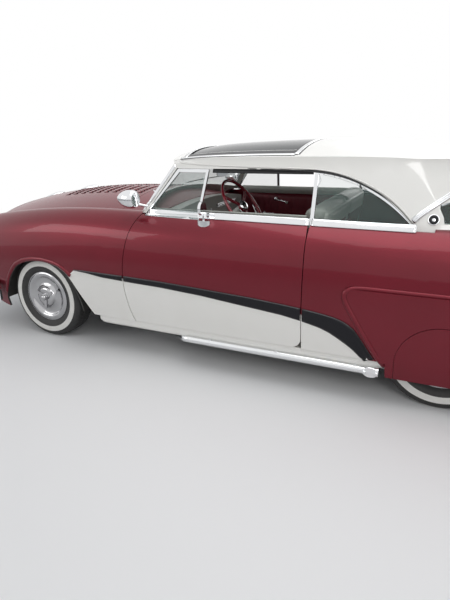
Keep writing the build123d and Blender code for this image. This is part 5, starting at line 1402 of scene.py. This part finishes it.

# Hood louvres: rows of small punched scoops over the hood's middle, each open at
# its rear, with a black sheet behind it as painted shade in the hole.
LOUVRE_WIDTH = 0.032
LOUVRE_LENGTH = 0.0372
LOUVRE_RISE = 0.0045
LOUVRE_LIFT = 0.0004
LOUVRE_ROWS = 10
LOUVRE_FRONT_Y = -1.860
LOUVRE_ROW_PITCH = 0.084
LOUVRE_COLUMNS = 15
LOUVRE_PITCH = 0.040
LOUVRES_LEAVE_X = 0.03
HOLE_HALF = 0.0135
HOLE_LENGTH = 0.010
HOLE_LIFT = 0.0006
HOLE_CORNERS = ((-HOLE_HALF, 0.0), (HOLE_HALF, 0.0), (HOLE_HALF, HOLE_LENGTH), (-HOLE_HALF, HOLE_LENGTH))
hood_surface = surface_of("hood")
louvres = bmesh.new()
holes = bmesh.new()
for row in range(LOUVRE_ROWS):
    for column in range(LOUVRE_COLUMNS):
        x = (column - (LOUVRE_COLUMNS - 1) / 2) * LOUVRE_PITCH
        if abs(x) < LOUVRES_LEAVE_X:
            continue
        centre, outward = on_top(x, LOUVRE_FRONT_Y + row * LOUVRE_ROW_PITCH, hood_surface)
        along = outward.cross(LEFT).normalized()
        grid = bmesh.ops.create_grid(louvres, x_segments=6, y_segments=5, size=0.5)
        for vertex in grid["verts"]:
            across, back = vertex.co.xy
            rise = LOUVRE_RISE * math.sin(math.pi * (across + 0.5)) ** 0.6 * (back + 0.5) ** 0.8
            spot = centre + LEFT * across * LOUVRE_WIDTH + along * back * LOUVRE_LENGTH
            vertex.co = spot + outward * (rise + LOUVRE_LIFT)
        rear = centre + along * LOUVRE_LENGTH / 2 + outward * HOLE_LIFT
        corners = [rear + LEFT * across + along * back for across, back in HOLE_CORNERS]
        holes.faces.new([holes.verts.new(corner) for corner in corners])
for face in louvres.faces:
    face.smooth = True
show("hood_louvres", made_mesh(louvres, UP, thickness=0.0008), "hood", burgundy)
# black sheets at the scoops' open rears: painted shade inside the holes
show("hood_louvre_hole_shade", made_mesh(holes, UP, thickness=0.0002), "hood", satin_black)

# Hood ornaments: a low bright fin on the centre line and a blade at the nose, cast
# and bolted through the hood.
ORNAMENTS = (
    # name, front y, rear y, height, half width
    ("hood_fin", -1.960, -1.760, 0.036, 0.016),
    ("hood_blade", -2.430, -2.180, 0.030, 0.022),
)
ORNAMENT_LIFT = 0.0008
ORNAMENT_LOW_SHARE = 0.35


for name, front_y, rear_y, height, half in ORNAMENTS:
    def ornament_place(u, v):
        girth = math.sin(math.pi * (0.1 + 0.8 * u)) ** 0.8
        swing = math.pi * v
        ground, _ = on_top(-math.cos(swing) * half * girth, mix(front_y, rear_y, u), hood_surface)
        rise = height * girth * math.sin(swing) * mix(ORNAMENT_LOW_SHARE, 1, u)
        return ground + UP * (ORNAMENT_LIFT + rise)

    mesh = made_mesh(shaped_grid(40, 16, ornament_place), UP, thickness=0.001)
    mesh.shade_smooth()
    show(name, mesh, "hood", bright)

# Wipers: two bright arms with black blades parked along the windshield's foot.
WIPER_X = (0.10, 0.54)
WIPER_Z = (1.185, 1.205)
WIPER_LIFT = 0.010
BLADE_RADIUS = 0.004
WIPER_ARM_RADIUS = 0.003
ARM_PLACES = (
    # step of the blade, distance from it
    (6, (0, -0.010, 0.004)), (3, (0, -0.016, -0.004)), (0, (0, -0.018, -0.006)),
)
glass_front = surface_of("windshield")
blade = []
for share in shares(12):
    place, outward = on_end(mix(*WIPER_X, share), mix(*WIPER_Z, share), glass_front, -BEHIND_Y)
    blade.append(place + outward * WIPER_LIFT)
arm = [blade[step] + Vector(away) for step, away in ARM_PLACES]
show_both("wiper_blade", tube(blade, BLADE_RADIUS), "body", satin_black)
show_both("wiper_arm", tube(arm, WIPER_ARM_RADIUS), "body", bright)

# Rear plate: a blank stamped plate with a rolled rim, screwed to the lid's tail.
PLATE_HALF = 0.152
PLATE_Z = (0.700, 0.852)
PLATE_LIFT = 0.002
RIM_IN = 0.006
RIM_BEAD = 0.003
tail_surface = surface_of("trunk_lid", "rear_deck")
plate_y = PLATE_LIFT + max(
    on_end(x, z, tail_surface)[0].y for x in (-0.15, 0.0, 0.15) for z in PLATE_Z
)


def plate_place(u, v):
    height = PLATE_Z[1] - PLATE_Z[0]
    rim = min(u * 2 * PLATE_HALF, (1 - u) * 2 * PLATE_HALF, v * height, (1 - v) * height)
    bead = RIM_BEAD * math.exp(-((rim - RIM_IN) / RIM_BEAD) ** 2)
    return Vector((PLATE_HALF * (2 * u - 1), plate_y + bead, mix(*PLATE_Z, v)))


mesh = made_mesh(shaped_grid(90, 45, plate_place), REAR, thickness=0.0012)
show("rear_plate", mesh, "trunk_lid", ivory)


# The trim stands a few millimetres over the roof's crown and the rear fenders, so
# the last part of each is pressed flatter, and the car keeps to its box.
PRESSED = (
    # axis, starts at, full size
    (2, 1.500, cad_box[1][2] - 0.0005), (0, 0.900, cad_box[1][0] - 0.0003),
)
made = {piece.data for piece in bpy.data.objects if piece.type == "MESH" and piece.name not in nodes}
made.discard(floor_mesh)
for axis, start, full in PRESSED:
    reach = max(abs(corner.co[axis]) for mesh in made for corner in mesh.vertices)
    share = min(1.0, (full - start) / (reach - start))
    for mesh in made:
        for corner in mesh.vertices:
            excess = abs(corner.co[axis]) - start
            if excess > 0:
                corner.co[axis] = math.copysign(start + excess * share, corner.co[axis])
